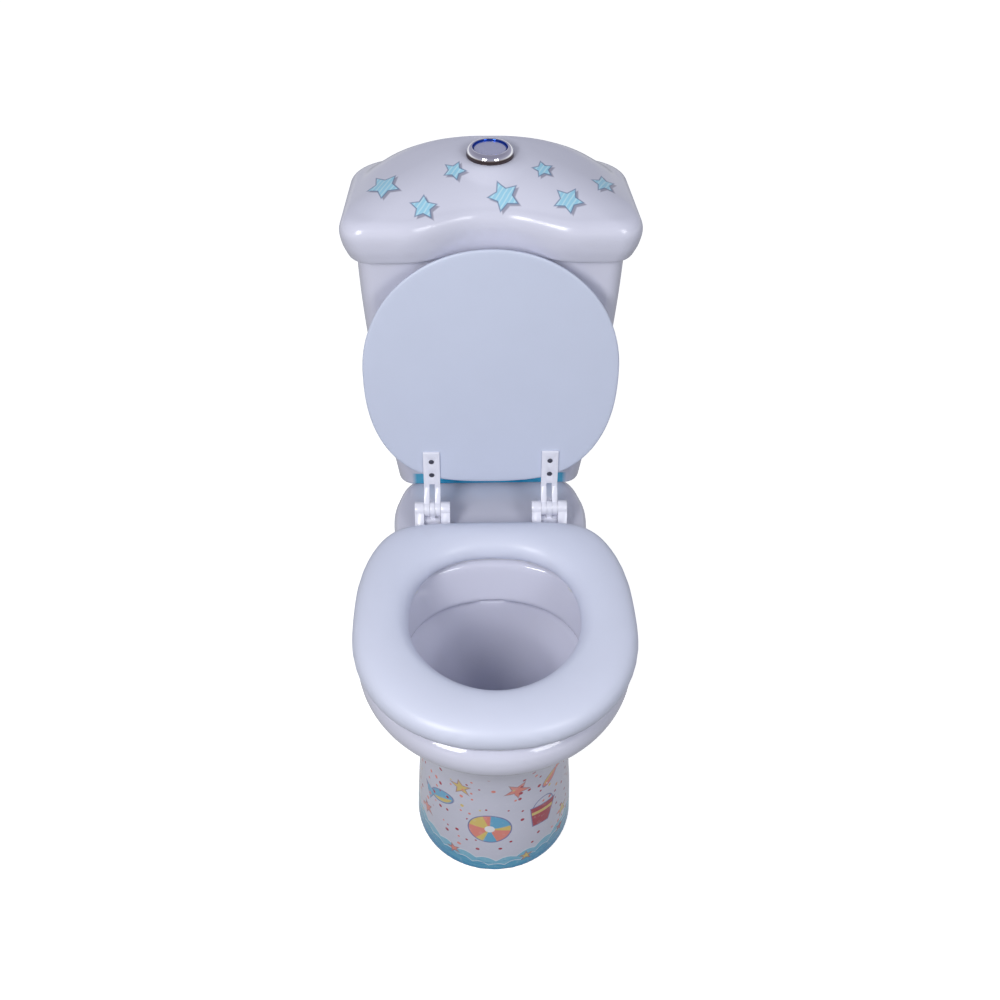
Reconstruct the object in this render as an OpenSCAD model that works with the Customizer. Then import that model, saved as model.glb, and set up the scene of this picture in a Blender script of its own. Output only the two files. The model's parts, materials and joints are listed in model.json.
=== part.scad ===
// Child's close-coupled toilet: glazed pan and cistern, padded seat and padded cover.
// Origin at the middle of the footprint on the floor, +X to the sitter's left, -Y the front, +Z up.

/* [Seat and cover] */
// Width of the padded seat
seat_w = 328; // [300:1:350]
// Length of the padded seat, front to back
seat_len = 335.6; // [315:1:350]
// Thickness of the seat, board and padding together
seat_t = 34.2; // [28:0.2:40]
// Thickness of the seat board alone
board_t = 10; // [6:0.5:14]
// Width of the hole in the seat
hole_w = 195; // [170:1:210]
// Length of the hole in the seat
hole_len = 209.6; // [180:1:215]
// Padding between the front of the seat and the hole
seat_front_w = 74.8; // [65:0.5:80]
// Height of the rubber buffers under the seat
buffer_h = 3.3; // [3:0.1:6]
// Width of the cover
cover_w = 302; // [280:1:310]
// Height of the open cover's top edge above the cistern lid's lower edge
cover_over_lid = 19.8; // [12:0.2:24]
// Distance from the hinge axis to the cover's near edge
cover_gap = 30; // [26:1:36]
// Thickness of the cover, board and padding together
cover_t = 18; // [16:0.5:19]
// Thickness of the cover board alone
cover_board_t = 6; // [5:0.5:7]
// Angle that the open cover leans back past upright
cover_lean = 4.7; // [2:0.1:5]

/* [Pan] */
// Height of the china rim and shelf above the floor
rim_z = 286; // [270:1:320]
// How far the rim's bulge stays inside the seat's edge
rim_in = 5; // [4:0.5:10]
// Width of the opening inside the rim
mouth_w = 214; // [200:1:220]
// Length of the opening inside the rim
mouth_len = 207.6; // [195:1:210]
// Depth of the rim's inner face
rim_face_h = 56; // [40:1:60]
// How far the rim's inner face leans back from its lip to its top
mouth_flare = 12; // [6:1:14]
// Width of the foot
foot_w = 194.2; // [180:1:204]
// Width of the column just under the bowl
waist_w = 177; // [168:1:180]
// Thickness of the china wall
china_t = 10; // [8:0.5:12]
// Width of the shelf between seat and cistern
shelf_w = 237; // [225:1:238]
// Thickness of the shelf plate
shelf_t = 14; // [12:0.5:18]
// Width of the shelf where it carries the cistern
shelf_back_w = 150; // [148:1:152]
// Radius of the trap passage
trap_r = 25; // [22:0.5:26]
// Radius of the bore of the floor outlet
outlet_r = 36; // [34:0.5:38]
// Length of the bore of the floor outlet
outlet_len = 60; // [50:1:70]
// Width between the two floor screws
screw_gap = 160; // [150:1:164]
// Radius of the floor screw holes
screw_hole_r = 4; // [3:0.25:5]

/* [Cistern] */
// Width of the cistern at its top
tank_top_w = 302; // [290:1:304]
// Width of the cistern at its bottom
tank_bottom_w = 234; // [232:1:240]
// Height of the cistern body
tank_h = 356; // [340:1:370]
// Depth of the cistern at its bottom
tank_d = 139; // [136:1:145]
// Gap between the cistern and the shelf
tank_gap = 3; // [3:0.5:5]
// Thickness of the cistern wall and floor
tank_wall = 10; // [9:0.5:11]
// Depth of the hollow in the cistern's front at its top
tank_recess = 14; // [10:0.5:15]
// Distance from the hinge axis to the cistern's back
hinge_to_back = 208; // [206:1:212]
// Width of the cistern lid over its lip
lid_w = 334; // [330:1:340]
// How far the lid's bulges stand in front of its hollow
lid_recess = 28; // [24:0.5:32]
// Height of the lid's lower edge below the cistern's brim
lid_skirt = 10; // [8:0.5:14]
// Height of the lid from its lower edge to its crown
lid_h = 88; // [84:1:92]
// Height of the lip's widest line above the lower edge
lid_lip_h = 33; // [28:1:38]
// Thickness of the lid's wall
lid_wall = 9; // [8:0.5:11]

/* [Hinges] */
// Distance between the two hinges
hinge_gap = 147; // [140:1:150]
// Height of the hinge axis above the shelf
hinge_h = 25; // [24.5:0.25:28]
// Distance from the seat's back edge to the hinge axis
hinge_back = 26.4; // [26:0.2:30]
// Radius of the hinge knuckles
knuckle_r = 9.5; // [8.5:0.25:10]
// Radius of the hinge pins
pin_r = 3; // [2.5:0.1:3.5]
// Running clearance of a hinge pin, on the radius
pin_fit = 0.05; // [0.02:0.01:0.1]
// Length of a whole hinge barrel
barrel_w = 44; // [40:1:48]
// Width of the cover strap
strap_w = 20.4; // [18:0.2:21]
// Width of the post's knuckle
post_w = 6.2; // [5.4:0.2:7]
// Thickness of the straps
strap_t = 3; // [2.5:0.1:3.2]
// How far the straps reach from the hinge axis
strap_len = 77; // [74:1:84]
// Distance from the hinge axis to the first strap screw
strap_screw_1 = 43; // [41:1:46]
// Distance between the two strap screws
strap_screw_gap = 20; // [16:1:22]

/* [Flush button] */
// Radius of the chrome bezel
bezel_r = 27; // [24:0.5:28]
// Height of the bezel above the lid
bezel_h = 10; // [9.5:0.5:12]
// Radius of the push disc
disc_r = 18.5; // [17:0.5:19]
// Travel of the push disc
press = 4; // [3:0.5:4]
// Radius of the hole in the lid for the button
lid_hole_r = 16; // [15:0.5:17]
// Radius of the push rod
rod_r = 3; // [2.5:0.25:3]

/* [Cistern fittings] */
// Radius of the flush valve's threaded tail
tail_r = 26.5; // [24:0.5:27]
// Radius of the flush valve's nut
tail_nut_r = 34; // [33:0.5:35]
// Radius of the flush valve's tower
tower_r = 28; // [26:0.5:29]
// Height of the flush valve's tower above the cistern floor
tower_h = 286; // [270:1:290]
// Radius of the overflow pipe
overflow_r = 10; // [8:0.5:11]
// Distance from the middle to the inlet shank
inlet_x = 92; // [92:0.5:93]
// Radius of the inlet shank's thread
shank_r = 10.5; // [9:0.1:10.5]
// Length of the inlet shank below the cistern
shank_len = 38; // [30:1:45]
// Radius of the float cup
float_r = 21; // [18:0.5:22]
// Travel of the float cup
float_travel = 70; // [50:1:80]
// Half distance between the cistern bolts
bolt_x = 54; // [53.5:0.25:55]
// Radius of the cistern bolts
bolt_r = 4; // [3:0.25:4]

/* [Hidden] */

rest = 0.3;                                  // clearance of soft or curved faces that almost touch
fit = 0.5;                                   // clearance of loose holes and bosses, on the radius
eps = 1;                                     // how far a cutter runs past a face

rim_w = seat_w - 2 * rim_in;                  // width of the rim over its bulge

// Places along the length of the toilet
depth = seat_len + hinge_back + hinge_to_back;
seat_y0 = -depth / 2;
seat_y1 = seat_y0 + seat_len;
seat_yc = (seat_y0 + seat_y1) / 2;
hinge_y = seat_y1 + hinge_back;
tank_y1 = depth / 2;
tank_y0 = tank_y1 - tank_d;
valve_y = tank_y1 - 69;
mouth_y = seat_yc + 4;                       // middle of the bowl's opening
sump_y = seat_yc + 19.2;                     // lowest place of the bowl
foot_y0 = seat_y0 + 38.6;                    // front of the foot
foot_yc = foot_y0 + foot_w / 2;
outlet_y = hinge_y + 53;
shelf_y = hinge_y - 37;                      // middle that the shelf's sections grow from
lug_y = outlet_y - 12;

// Heights
hinge_z = rim_z + hinge_h;
seat_z0 = rim_z + buffer_h + 0.2;
seat_z1 = seat_z0 + seat_t;
tank_z0 = rim_z + tank_gap;
tank_z1 = tank_z0 + tank_h;
tank_floor = tank_z0 + tank_wall;
lid_z0 = tank_z1 - lid_skirt;
lid_z1 = lid_z0 + lid_h;
button_z = lid_z1 - 4.5;                     // flat on the crown that the bezel sits on
lid_ceiling = lid_z1 - lid_wall - 15;        // flat under the crown that the button's nut clamps
shelf_under = rim_z - shelf_t;
lip_z = rim_z - rim_face_h;
bolt_top = tank_floor + 3;
cover_face = seat_z1 - hinge_z + rest + 2.5; // cover's face behind the hinge axis when open
strap_face = cover_face - 2.5;               // face of the cover straps, clear of the seat below

cover_len = (lid_z0 + cover_over_lid - hinge_z) / cos(cover_lean) - cover_gap;
cover_flat = max(cover_len - 307, 8);        // flattening of the near end, wide enough for the straps

// Small sizes
gasket_r = tail_nut_r + 12;                  // outer radius of the sponge gasket
gasket_in = 12;                              // how deep the gasket sits in the shelf
hinge_bolt_r = 4;
screw_r = 1.75;                              // strap screws
screw_bite = 4.8;                             // how deep the strap screws go into the boards
strap_screws = [strap_screw_1, strap_screw_1 + strap_screw_gap];
fork_r = 29;                                 // how far the cover strap's fork reaches from the axis
board_in = 8;                                // how far the seat's padding wraps past its board
board_edge = 3;                              // width of the padding's lip round the cover's board
tank_edge = 8;                               // radius of the cistern's lower edge
trunk_w = 124;                               // width of the pan's back part under the shelf
lug_r = 15;                                  // lugs for the floor screws
lug_t = 14;
stem_r = 5;                                  // stem of the flush plug
boss_h = 8;                                  // depth of the boss under the bezel
lid_front = tank_y0 - 30.2;                  // front of the lid's bulges
crest_y = tank_y1 - 30;                      // crest of the lid's crown
crown_h = lid_h - lid_lip_h - 20;            // rise of the crown above the rounded lip

// Outline helpers -------------------------------------------------------------------------------

function spow(v, e) = sign(v) * pow(abs(v), e);

// Presses the far end of an outline flat at cap, softly, when it would run out to far
function flattened(v, cap, far) =
    v <= 0 || far <= cap ? v : pow(pow(v, -12) + pow(cap, -12) - pow(far, -12), -1 / 12);

// Oval of half width a that reaches f to the front and b to the back of y, back end run out by over
function oval(a, f, b, y, nf = 2, nb = 2, over = 0, count = 40) = [for (i = [0:count - 1])
    let (t = 360 * i / count, n = sin(t) < 0 ? nf : nb, v = spow(sin(t), 2 / n))
    [a * spow(cos(t), 2 / n), y + (v < 0 ? f * v : flattened((b + over) * v, b, b + over))]];

// Outline of the seat and of its hole, stepped in or out by d
function seat_line(d) = oval(seat_w / 2 - d, seat_len / 2 - d, seat_len / 2 - d, seat_yc, 2.15, 2.6, 34);
function hole_line(d) = oval(hole_w / 2 + d, hole_len / 2 + d, hole_len / 2 + d,
    seat_y0 + seat_front_w + hole_len / 2, 1.92, 2.33);

// Outline of the cover in its own plane, with y counted from the hinge axis
function cover_line(d) = let (b = cover_len / 2) [for (p = oval(cover_w / 2 - d, b - d, b - d,
    0, 2.05, 2.45, cover_flat, 48)) [p[0], cover_gap + b - p[1]]];

function ease(u) = (1 - cos(180 * min(max(u, 0), 1))) / 2;

// Rounded box outline with a hollow of depth dip in the middle of its front; back_in narrows the back
function box_line(hw, y0, y1, r, dip, back_in = 0, steps = 14) = concat(
    [for (i = [0:steps]) let (x = (hw - r) * (2 * i / steps - 1))
        [x, y0 + dip * (1 - ease((abs(x) - 8) / 92))]],
    [for (i = [1:5]) [hw - r + r * sin(18 * i), y0 + r - r * cos(18 * i)]],
    [for (i = [0:5]) [hw - back_in - r + r * cos(18 * i), y1 - r + r * sin(18 * i)]],
    [for (i = [0:5]) [-hw + back_in + r - r * sin(18 * i), y1 - r + r * cos(18 * i)]],
    [for (i = [1:5]) [-hw + r - r * cos(18 * (i - 1)), y0 + r - r * sin(18 * (i - 1))]]);

function at_height(line, z) = [for (p = line) [p[0], p[1], z]];

// Smooth curve through a list of key rows, steps to a span
function between(k, i, u) = let (b = k[i], c = k[i + 1], a = k[max(i - 1, 0)],
    d = k[min(i + 2, len(k) - 1)]) 0.5 * (2 * b + (c - a) * u + (2 * a - 5 * b + 4 * c - d) * u * u
    + (3 * b - a - 3 * c + d) * u * u * u);
function smooth(k, steps) = [for (i = [0:len(k) - 2], j = [0:steps - 1]) between(k, i, j / steps),
    k[len(k) - 1]];

// Skin over rings of points, bottom ring first; a loop joins the last ring to the first
module skin(rings, loop = false) {
    n = len(rings[0]);
    m = len(rings);
    // each end is closed by a fan about its middle
    ends = [for (r = [rings[0], rings[m - 1]]) [for (k = [0:2]) sum(r, k) / n]];
    walls = [for (j = [0:m - (loop ? 1 : 2)], i = [0:n - 1]) let (u = (j + 1) % m, k = (i + 1) % n)
        each [[u * n + i, j * n + k, j * n + i], [u * n + i, u * n + k, j * n + k]]];
    fans = [for (i = [0:n - 1]) let (k = (i + 1) % n)
        each [[m * n, i, k], [m * n + 1, (m - 1) * n + k, (m - 1) * n + i]]];
    polyhedron(points = concat([for (r = rings) each r], loop ? [] : ends),
        faces = loop ? walls : concat(walls, fans));
}

function sum(points, axis, i = 0) = i == len(points) ? 0 : points[i][axis] + sum(points, axis, i + 1);

// Round pipe that follows points in the YZ plane at x
module pipe(path, r, x = 0, sides = 12) {
    last = len(path) - 1;
    skin([for (i = [0:last]) let (d = path[min(i + 1, last)] - path[max(i - 1, 0)], l = norm(d),
        u = [-d[1] / l, d[0] / l]) [for (k = [0:sides - 1]) let (a = 360 * k / sides)
        [x + r * cos(a), path[i][0] - r * sin(a) * u[0], path[i][1] - r * sin(a) * u[1]]]]);
}

module tube(r, bore, h) {
    difference() {
        cylinder(r = r, h = h, $fn = 64);
        translate([0, 0, -eps]) cylinder(r = bore, h = h + 2 * eps, $fn = 64);
    }
}

module both_sides(x) {
    for (s = [-1, 1]) translate([s * x, 0, 0]) children();
}

// Profile in the YZ plane, drawn out along X about the middle
module along_x(w) rotate([90, 0, 90]) linear_extrude(w, center = true) children();

module rod_x(r, w) rotate([0, 90, 0]) cylinder(r = r, h = w, center = true, $fn = 64);

// Pan -------------------------------------------------------------------------------------------

// Outer form: rows of height, half width, front, back, and how far back the widest line lies
pan_keys = [
    [0, foot_w / 2, foot_y0, hinge_y - 7, foot_yc],
    [60, foot_w / 2 - 2.5, foot_y0 + 1.4, hinge_y - 7, foot_yc],
    [120, waist_w / 2 + 2, foot_y0 + 4.4, hinge_y - 9, foot_yc],
    [160, waist_w / 2 + 1, foot_y0 + 4.4, hinge_y - 15, foot_yc + 8],
    [195, waist_w / 2 + 13, seat_y0 + 38, hinge_y - 22, seat_yc - 10],
    [222, rim_w / 2 - 33, seat_y0 + 27, hinge_y - 29, seat_yc],
    [240, rim_w / 2 - 13, seat_y0 + 12, hinge_y - 33, seat_yc],
    [251, rim_w / 2 - 3, seat_y0 + 3.5, hinge_y - 33, seat_yc],
    [262, rim_w / 2, seat_y0 + 1, hinge_y - 33, seat_yc],
    [272, rim_w / 2 - 1.5, seat_y0 + 2.5, hinge_y - 34, seat_yc],
    [281, rim_w / 2 - 6, seat_y0 + 7, hinge_y - 37, seat_yc],
    [286, rim_w / 2 - 14, seat_y0 + 15, hinge_y - 43, seat_yc]];
shelf_keys = [[200, 0.62], [225, 0.8], [246, 0.95], [262, 1], [279, 1], [286, 0.965]];

function row_ring(r, d = 0) = at_height(oval(r[1] - d, r[4] - r[2] - d, r[3] - r[4] - d, r[4],
    2, 2.3, 0, 32), r[0] * rim_z / 286);

// Plan of the shelf: wide behind the seat, narrow under the cistern
shelf_half = [[0, shelf_y - 100], [shelf_w / 2 - 8, shelf_y - 90], [shelf_w / 2, shelf_y],
    [shelf_w / 2, tank_y0 - 18], [shelf_w / 2 - 14, tank_y0 + 14], [shelf_back_w / 2 + 4, valve_y - 34],
    [shelf_back_w / 2, valve_y - 16], [shelf_back_w / 2, valve_y + 24],
    [shelf_back_w / 2 - 16, valve_y + 46], [0, valve_y + 48]];
shelf_line = smooth(concat(shelf_half, [for (i = [len(shelf_half) - 2:-1:1])
    [-shelf_half[i][0], shelf_half[i][1]]]), 2);

function shelf_ring(z, k, d = 0) = at_height([for (p = shelf_line)
    [p[0] * (k - d / 110), shelf_y + (p[1] - shelf_y) * (k - d / 150)]], z);

// Inside of the bowl from the sump upwards: height, half width, front and back from the sump
bowl_keys = [[62, 24, -32, 32], [84, 38, -46, 50], [110, 50, -60, 68], [150, 66, -78, 86],
    [195, 86, -108, 93], [lip_z - 4, mouth_w / 2 + 6, -127, 94]];

function bowl_ring(r, d = 0) = at_height(oval(r[1] + d, (r[3] - r[2]) / 2 + d, (r[3] - r[2]) / 2 + d,
    sump_y + (r[2] + r[3]) / 2, 2, 2.3, 0, 32), r[0]);

trap_path = smooth([[sump_y + 6, 84], [sump_y + 49, 64], [outlet_y - 100, 84], [outlet_y - 70, 122],
    [outlet_y - 36, 140], [outlet_y - 8, 122], [outlet_y, 84], [outlet_y, 50]], 2);

// Lugs on both sides of the foot that take the floor screws
module floor_lugs() {
    for (s = [-1, 1]) linear_extrude(lug_t) difference() {
        union() {
            translate([s * screw_gap / 2, lug_y]) circle(r = lug_r, $fn = 64);
            translate([s > 0 ? trunk_w / 2 - 6 : -screw_gap / 2, lug_y - lug_r])
                square([screw_gap / 2 - trunk_w / 2 + 6, 2 * lug_r]);
        }
        translate([s * screw_gap / 2, lug_y]) circle(r = screw_hole_r, $fn = 48);
    }
}

// Back part under the shelf, round the trap; d steps it in
trunk_f = 120;
trunk_b = 150;
function trunk_ring(z, d) = at_height(oval(trunk_w / 2 - d, trunk_f - max(d, 0), trunk_b - max(d, 0),
    shelf_y, 2.5, 3, 0, 24), z);

module pan_outside() {
    skin([for (r = smooth(pan_keys, 1)) row_ring(r)]);
    skin([for (k = shelf_keys) shelf_ring(k[0] * rim_z / 286, k[1])]);
    skin([trunk_ring(0, 0), trunk_ring(130, 2), trunk_ring(210, -4)]);
}

module pan_hollow() {
    difference() {
        union() {
            skin(concat([at_height(oval(foot_w / 2 - china_t, foot_w / 2 - china_t,
                hinge_y - 7 - china_t - foot_yc, foot_yc, 2, 2.3, 0, 24), -eps)],
                [for (i = [1:5]) at_height(oval(pan_keys[i][1] - china_t,
                    pan_keys[i][4] - pan_keys[i][2] - china_t, pan_keys[i][3] - pan_keys[i][4] - china_t,
                    pan_keys[i][4], 2, 2.3, 0, 24), pan_keys[i][0])]));
            skin([for (z = [-eps, shelf_under - 30]) trunk_ring(z, china_t + 2)]);
        }
        skin(concat([at_height(bowl_ring(bowl_keys[0], 4), bowl_keys[0][0] - china_t)],
            [for (r = bowl_keys) bowl_ring(r, china_t)]));
        translate([-slot_w / 2 - china_t, slot_y, lip_z - 3 - china_t])
            cube([slot_w + 2 * china_t, slot_d + china_t, 50]);
        pipe(trap_path, trap_r + china_t - 2);
        translate([0, outlet_y, 8]) cylinder(r = outlet_r + china_t - 2, h = 90, $fn = 64);
    }
}

// Ring passage inside the rim that carries the flush water round the bowl
module rim_channel() {
    half = mouth_w / 2;
    skin([for (p = [[china_t + 3, lip_z + 10], [china_t + 18, lip_z + 22],
        [china_t + mouth_flare + 12, rim_z - 18], [china_t + mouth_flare - 1, rim_z - 11]])
        at_height(oval(half + p[0], mouth_len / 2 + p[0], mouth_len / 2 + p[0], mouth_y, 2.2, 2.2, 0, 32),
            p[1])], loop = true);
}

// Way of the flush water: from the cistern down into the shelf and forward to the rim channel
way_w = 44;
way_h = 22;
channel_y = mouth_y + mouth_len / 2 + mouth_flare + china_t;

// Slot under the rim through which the flush water leaves the channel
slot_w = 32;
slot_d = 26;
slot_y = mouth_y + mouth_len / 2 - 6;
module flush_way() {
    translate([0, valve_y, shelf_under - way_h])
        cylinder(r = tail_r + 4, h = shelf_t + way_h + eps, $fn = 64);
    translate([0, valve_y, rim_z - gasket_in]) cylinder(r = gasket_r + fit, h = gasket_in + eps, $fn = 64);
    translate([-way_w / 2, channel_y, shelf_under - way_h]) cube([way_w, valve_y - channel_y, way_h]);
}

module shelf_hollow() {
    way_z = shelf_under - way_h;
    difference() {
        skin([shelf_ring(rim_z - 96, 0.5, china_t), shelf_ring(rim_z - 60, 0.8, china_t),
            shelf_ring(rim_z - 36, 0.96, china_t), shelf_ring(shelf_under, 1, china_t)]);
        // left solid: the bowl's side, and the walls of the flush water's way
        translate([-shelf_w, channel_y + 24 - seat_len, rim_z - 106])
            cube([2 * shelf_w, seat_len, 200]);
        translate([-way_w / 2 - china_t, hinge_y - 77, way_z - china_t])
            cube([way_w + 2 * china_t, valve_y - hinge_y + 77, 60]);
        translate([0, valve_y, way_z - china_t]) cylinder(r = tail_r + 4 + china_t, h = 60, $fn = 64);
    }
}

module pan() color("whitesmoke") difference() {
    union() {
        difference() {
            pan_outside();
            pan_hollow();
        }
        floor_lugs();
    }
    skin([for (r = bowl_keys) bowl_ring(r)]);
    skin([for (k = [[lip_z - 5, 0], [lip_z + 6, 0], [rim_z - 5, mouth_flare], [rim_z + eps, mouth_flare + 5]])
        at_height(oval(mouth_w / 2 + k[1], mouth_len / 2 + k[1], mouth_len / 2 + k[1],
            mouth_y, 2.2, 2.2, 0, 32), k[0])]);
    pipe(trap_path, trap_r);
    translate([0, outlet_y, -eps]) cylinder(r = outlet_r, h = outlet_len + eps, $fn = 64);
    rim_channel();
    flush_way();
    shelf_hollow();
    translate([-slot_w / 2, slot_y, lip_z - 3]) cube([slot_w, slot_d, 17]);
    both_sides(hinge_gap / 2) translate([0, hinge_y, rim_z - 60])
        cylinder(r = hinge_bolt_r + 1.5, h = 60 + eps, $fn = 48);
    both_sides(bolt_x) translate([0, valve_y, rim_z - 60])
        cylinder(r = bolt_r + 1.5, h = 60 + eps, $fn = 48);
}

// Cistern ---------------------------------------------------------------------------------------

function tank_hw(z) = tank_bottom_w / 2 + (tank_top_w - tank_bottom_w) / 2 * sin(90 * min((z - tank_z0)
    / tank_h, 1));

// Section of the cistern body at height z, stepped in by d
function tank_ring(z, d) = let (u = (z - tank_z0) / tank_h, dip = tank_recess * pow(u, 1.7))
    at_height(box_line(tank_hw(z) - d, tank_y0 + 6 * u - dip + d, tank_y1 - d, 18, dip, 6 * u), z);

module cistern_tank() color("whitesmoke") difference() {
    skin(concat([for (a = [0, 22.5, 45, 90]) tank_ring(tank_z0 + tank_edge * (1 - cos(a)),
        tank_edge * (1 - sin(a)))],
        [for (u = [0.3, 0.55, 0.8, 1]) tank_ring(tank_z0 + tank_h * u, 0)]));
    skin([for (z = [tank_floor, tank_z0 + tank_h * 0.3, tank_z0 + tank_h * 0.55,
        tank_z0 + tank_h * 0.8, tank_z1 + eps]) tank_ring(z, tank_wall)]);
    translate([0, valve_y, tank_z0 - eps]) cylinder(r = tail_r + 1, h = tank_wall + 2 * eps, $fn = 64);
    translate([-inlet_x, valve_y, tank_z0 - eps])
        cylinder(r = shank_r + 1, h = tank_wall + 2 * eps, $fn = 48);
    both_sides(bolt_x) translate([0, valve_y, tank_z0 - eps])
        cylinder(r = bolt_r + 1, h = tank_wall + 2 * eps, $fn = 48);
}

// Section of the lid at height h above its lower edge, stepped in by d
function lid_ring(h, d) = at_height(box_line(lid_w / 2 - d, lid_front + d, tank_y1 - 1 - d * 0.8, 26,
    lid_recess - d * 0.4, 6), lid_z0 + h);

// Ring of the crown: at u = 1 the lip's outline, and rounder towards the crest near the back
function crown_ring(u) = let (line = box_line(lid_w / 2 - 16, lid_front + 16, tank_y1 - 13.8, 26,
    lid_recess - 6.4, 6), a = lid_w / 2 - 16, b = crest_y - lid_front - 16, c = tank_y1 - 13.8 - crest_y,
    w = pow(u, 1.5)) at_height([for (p = line) let (v = p[1] - crest_y, d = v < 0 ? b : c,
        l = norm([p[0] / a, v / d]))
        u * (w * [p[0], v] + (1 - w) * [p[0] / l, v / l]) + [0, crest_y]],
        lid_z1 - crown_h * pow(u, 2.2));

// Outline of the cistern's brim, stepped in by d, at height z
function tank_ring_at(z, d) = at_height([for (p = tank_ring(tank_z1, d)) [p[0], p[1]]], z);

module cistern_lid() color("whitesmoke") difference() {
    skin(concat([lid_ring(0, 9), lid_ring(lid_lip_h * 0.2, 5.5), lid_ring(lid_lip_h * 0.55, 2),
        lid_ring(lid_lip_h, 0), lid_ring(lid_lip_h + 10, 2.5), lid_ring(lid_lip_h + 16, 8)],
        [for (u = [1, 0.86, 0.7, 0.5, 0.3]) crown_ring(u)]));
    // level boss under the bezel, where the crown falls away to the front
    translate([0, valve_y, button_z - boss_h]) cylinder(r1 = bezel_r + 6, r2 = bezel_r + 1.4, h = boss_h,
        $fn = 96);
    // the skirt slips over the brim, and a ledge above it rests on the brim
    skin([tank_ring_at(lid_z0 - eps, -1.5), tank_ring_at(tank_z1, -1.5)]);
    skin([tank_ring_at(tank_z1 - eps, tank_wall), tank_ring_at(lid_z0 + lid_lip_h + 8, tank_wall + 4),
        tank_ring_at(lid_z1 - crown_h - lid_wall, tank_wall + 24),
        tank_ring_at(lid_ceiling, tank_wall + 30)]);
    translate([0, valve_y, button_z]) cylinder(r = bezel_r + 0.6, h = 20, $fn = 96);
    translate([0, valve_y, lid_z0]) cylinder(r = lid_hole_r + fit, h = lid_h + eps, $fn = 64);
}

// Cistern fixings -------------------------------------------------------------------------------

module tank_gasket() color("dimgray") translate([0, valve_y, rim_z - gasket_in])
    tube(gasket_r, tail_nut_r + 1, gasket_in + tank_gap);

module tank_bolts() color("goldenrod") both_sides(bolt_x) translate([0, valve_y, 0]) {
    translate([0, 0, shelf_under - 20]) cylinder(r = bolt_r, h = bolt_top - shelf_under + 20, $fn = 48);
    translate([0, 0, bolt_top]) cylinder(r1 = 9, r2 = 6, h = 4, $fn = 48);
}

module tank_bolt_seals() color("black") both_sides(bolt_x) translate([0, valve_y, tank_floor])
    tube(8.5, bolt_r, 3);

module tank_bolt_washers() color("silver") both_sides(bolt_x) translate([0, valve_y, shelf_under - 2])
    tube(9, bolt_r, 2);

module tank_wing_nuts() color("goldenrod") both_sides(bolt_x) translate([0, valve_y, shelf_under - 10]) {
    tube(7, bolt_r, 8);
    for (s = [-1, 1]) translate([-1.5, s * 6.5 - (s < 0 ? 9 : 0), -4]) cube([3, 9, 10]);
}

// Flush valve -----------------------------------------------------------------------------------

seat_in_r = 20;                              // opening that the plug closes
plug_z = tank_floor + 9;
tower_top = tank_floor + tower_h;
rocker_z = tower_top + 12;
rocker_left = 8;                             // from the rocker's pin to the push rod
rocker_right = 18;                           // from the rocker's pin to the plug's hook

module flush_valve_tower() color("white") translate([0, valve_y, 0]) {
    translate([0, 0, tank_z0 - 14]) tube(tail_r, tail_r - 3, tank_wall + 15);
    translate([0, 0, tank_floor + 1]) tube(tail_nut_r, seat_in_r, 4);
    difference() {
        translate([0, 0, tank_floor + 5]) tube(tower_r, tower_r - 2.5, tower_h - 5);
        for (a = [30, 90, 150]) rotate([0, 0, a]) translate([-50, -9, tank_floor + 9]) cube([100, 18, 60]);
        for (a = [0, 90]) rotate([0, 0, a]) translate([-50, -10, tank_floor + 110])
            cube([100, 20, tower_h - 150]);
    }
    // top plate with the guide for the plug's stem and the two ears of the rocker
    translate([0, 0, tower_top - 5]) difference() {
        cylinder(r = tower_r - 2.4, h = 5, $fn = 64);
        translate([0, 0, -eps]) cylinder(r = stem_r + fit, h = 8, $fn = 48);
        translate([rocker_right + 1, -6, -eps]) cube([20, 12, 8]);
    }
    for (s = [-1, 1]) difference() {
        translate([-5, s * 9.5 - 2, tower_top - eps]) cube([10, 4, 18]);
        translate([0, 0, rocker_z]) rotate([90, 0, 0]) cylinder(r = 2.05, h = 60, center = true, $fn = 48);
    }
    // overflow pipe on the tower's back, open at its foot into the tail
    translate([0, tower_r + overflow_r - 0.5, tank_floor + 5])
        tube(overflow_r, overflow_r - 2, tower_h - 20);
}

module flush_valve_nut() color("gainsboro") translate([0, valve_y, tank_z0 - 12])
    tube(tail_nut_r, tail_r, 12 - rest);

module flush_valve_seal() color("black") translate([0, valve_y, tank_floor]) tube(tail_nut_r, tail_r, 1);

module flush_plug() color("royalblue") translate([0, valve_y, 0]) {
    translate([0, 0, plug_z]) cylinder(r = seat_in_r + 3.5, h = 4, $fn = 64);
    translate([0, 0, plug_z + 4]) cylinder(r = stem_r, h = tower_top - 18 - plug_z, $fn = 48);
    // crosspiece under the top plate, with the hook that the rocker lifts
    translate([-4, -4, tower_top - 18]) cube([rocker_right + 10, 8, 4]);
    translate([rocker_right + 2.5, -4, tower_top - 18]) cube([3.5, 8, rocker_z - tower_top + 25]);
    translate([rocker_right - 9, -4, rocker_z + 3 + fit]) cube([15, 8, 4]);
}

module plug_seal() color("black") translate([0, valve_y, plug_z - 4 + rest])
    tube(seat_in_r + 2.5, 12, 4 - rest);

module flush_rocker() color("white") translate([0, valve_y, rocker_z]) difference() {
    union() {
        translate([-rocker_left - 5, -5, -3]) cube([rocker_left + rocker_right + 4, 10, 6]);
        rotate([90, 0, 0]) cylinder(r = 4.5, h = 14, center = true, $fn = 48);
    }
    rotate([90, 0, 0]) cylinder(r = 2 + pin_fit, h = 30, center = true, $fn = 48);
}

module rocker_pin() color("silver") translate([0, valve_y, rocker_z]) rotate([90, 0, 0])
    cylinder(r = 2, h = 25, center = true, $fn = 48);

// Fill valve ------------------------------------------------------------------------------------

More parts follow.
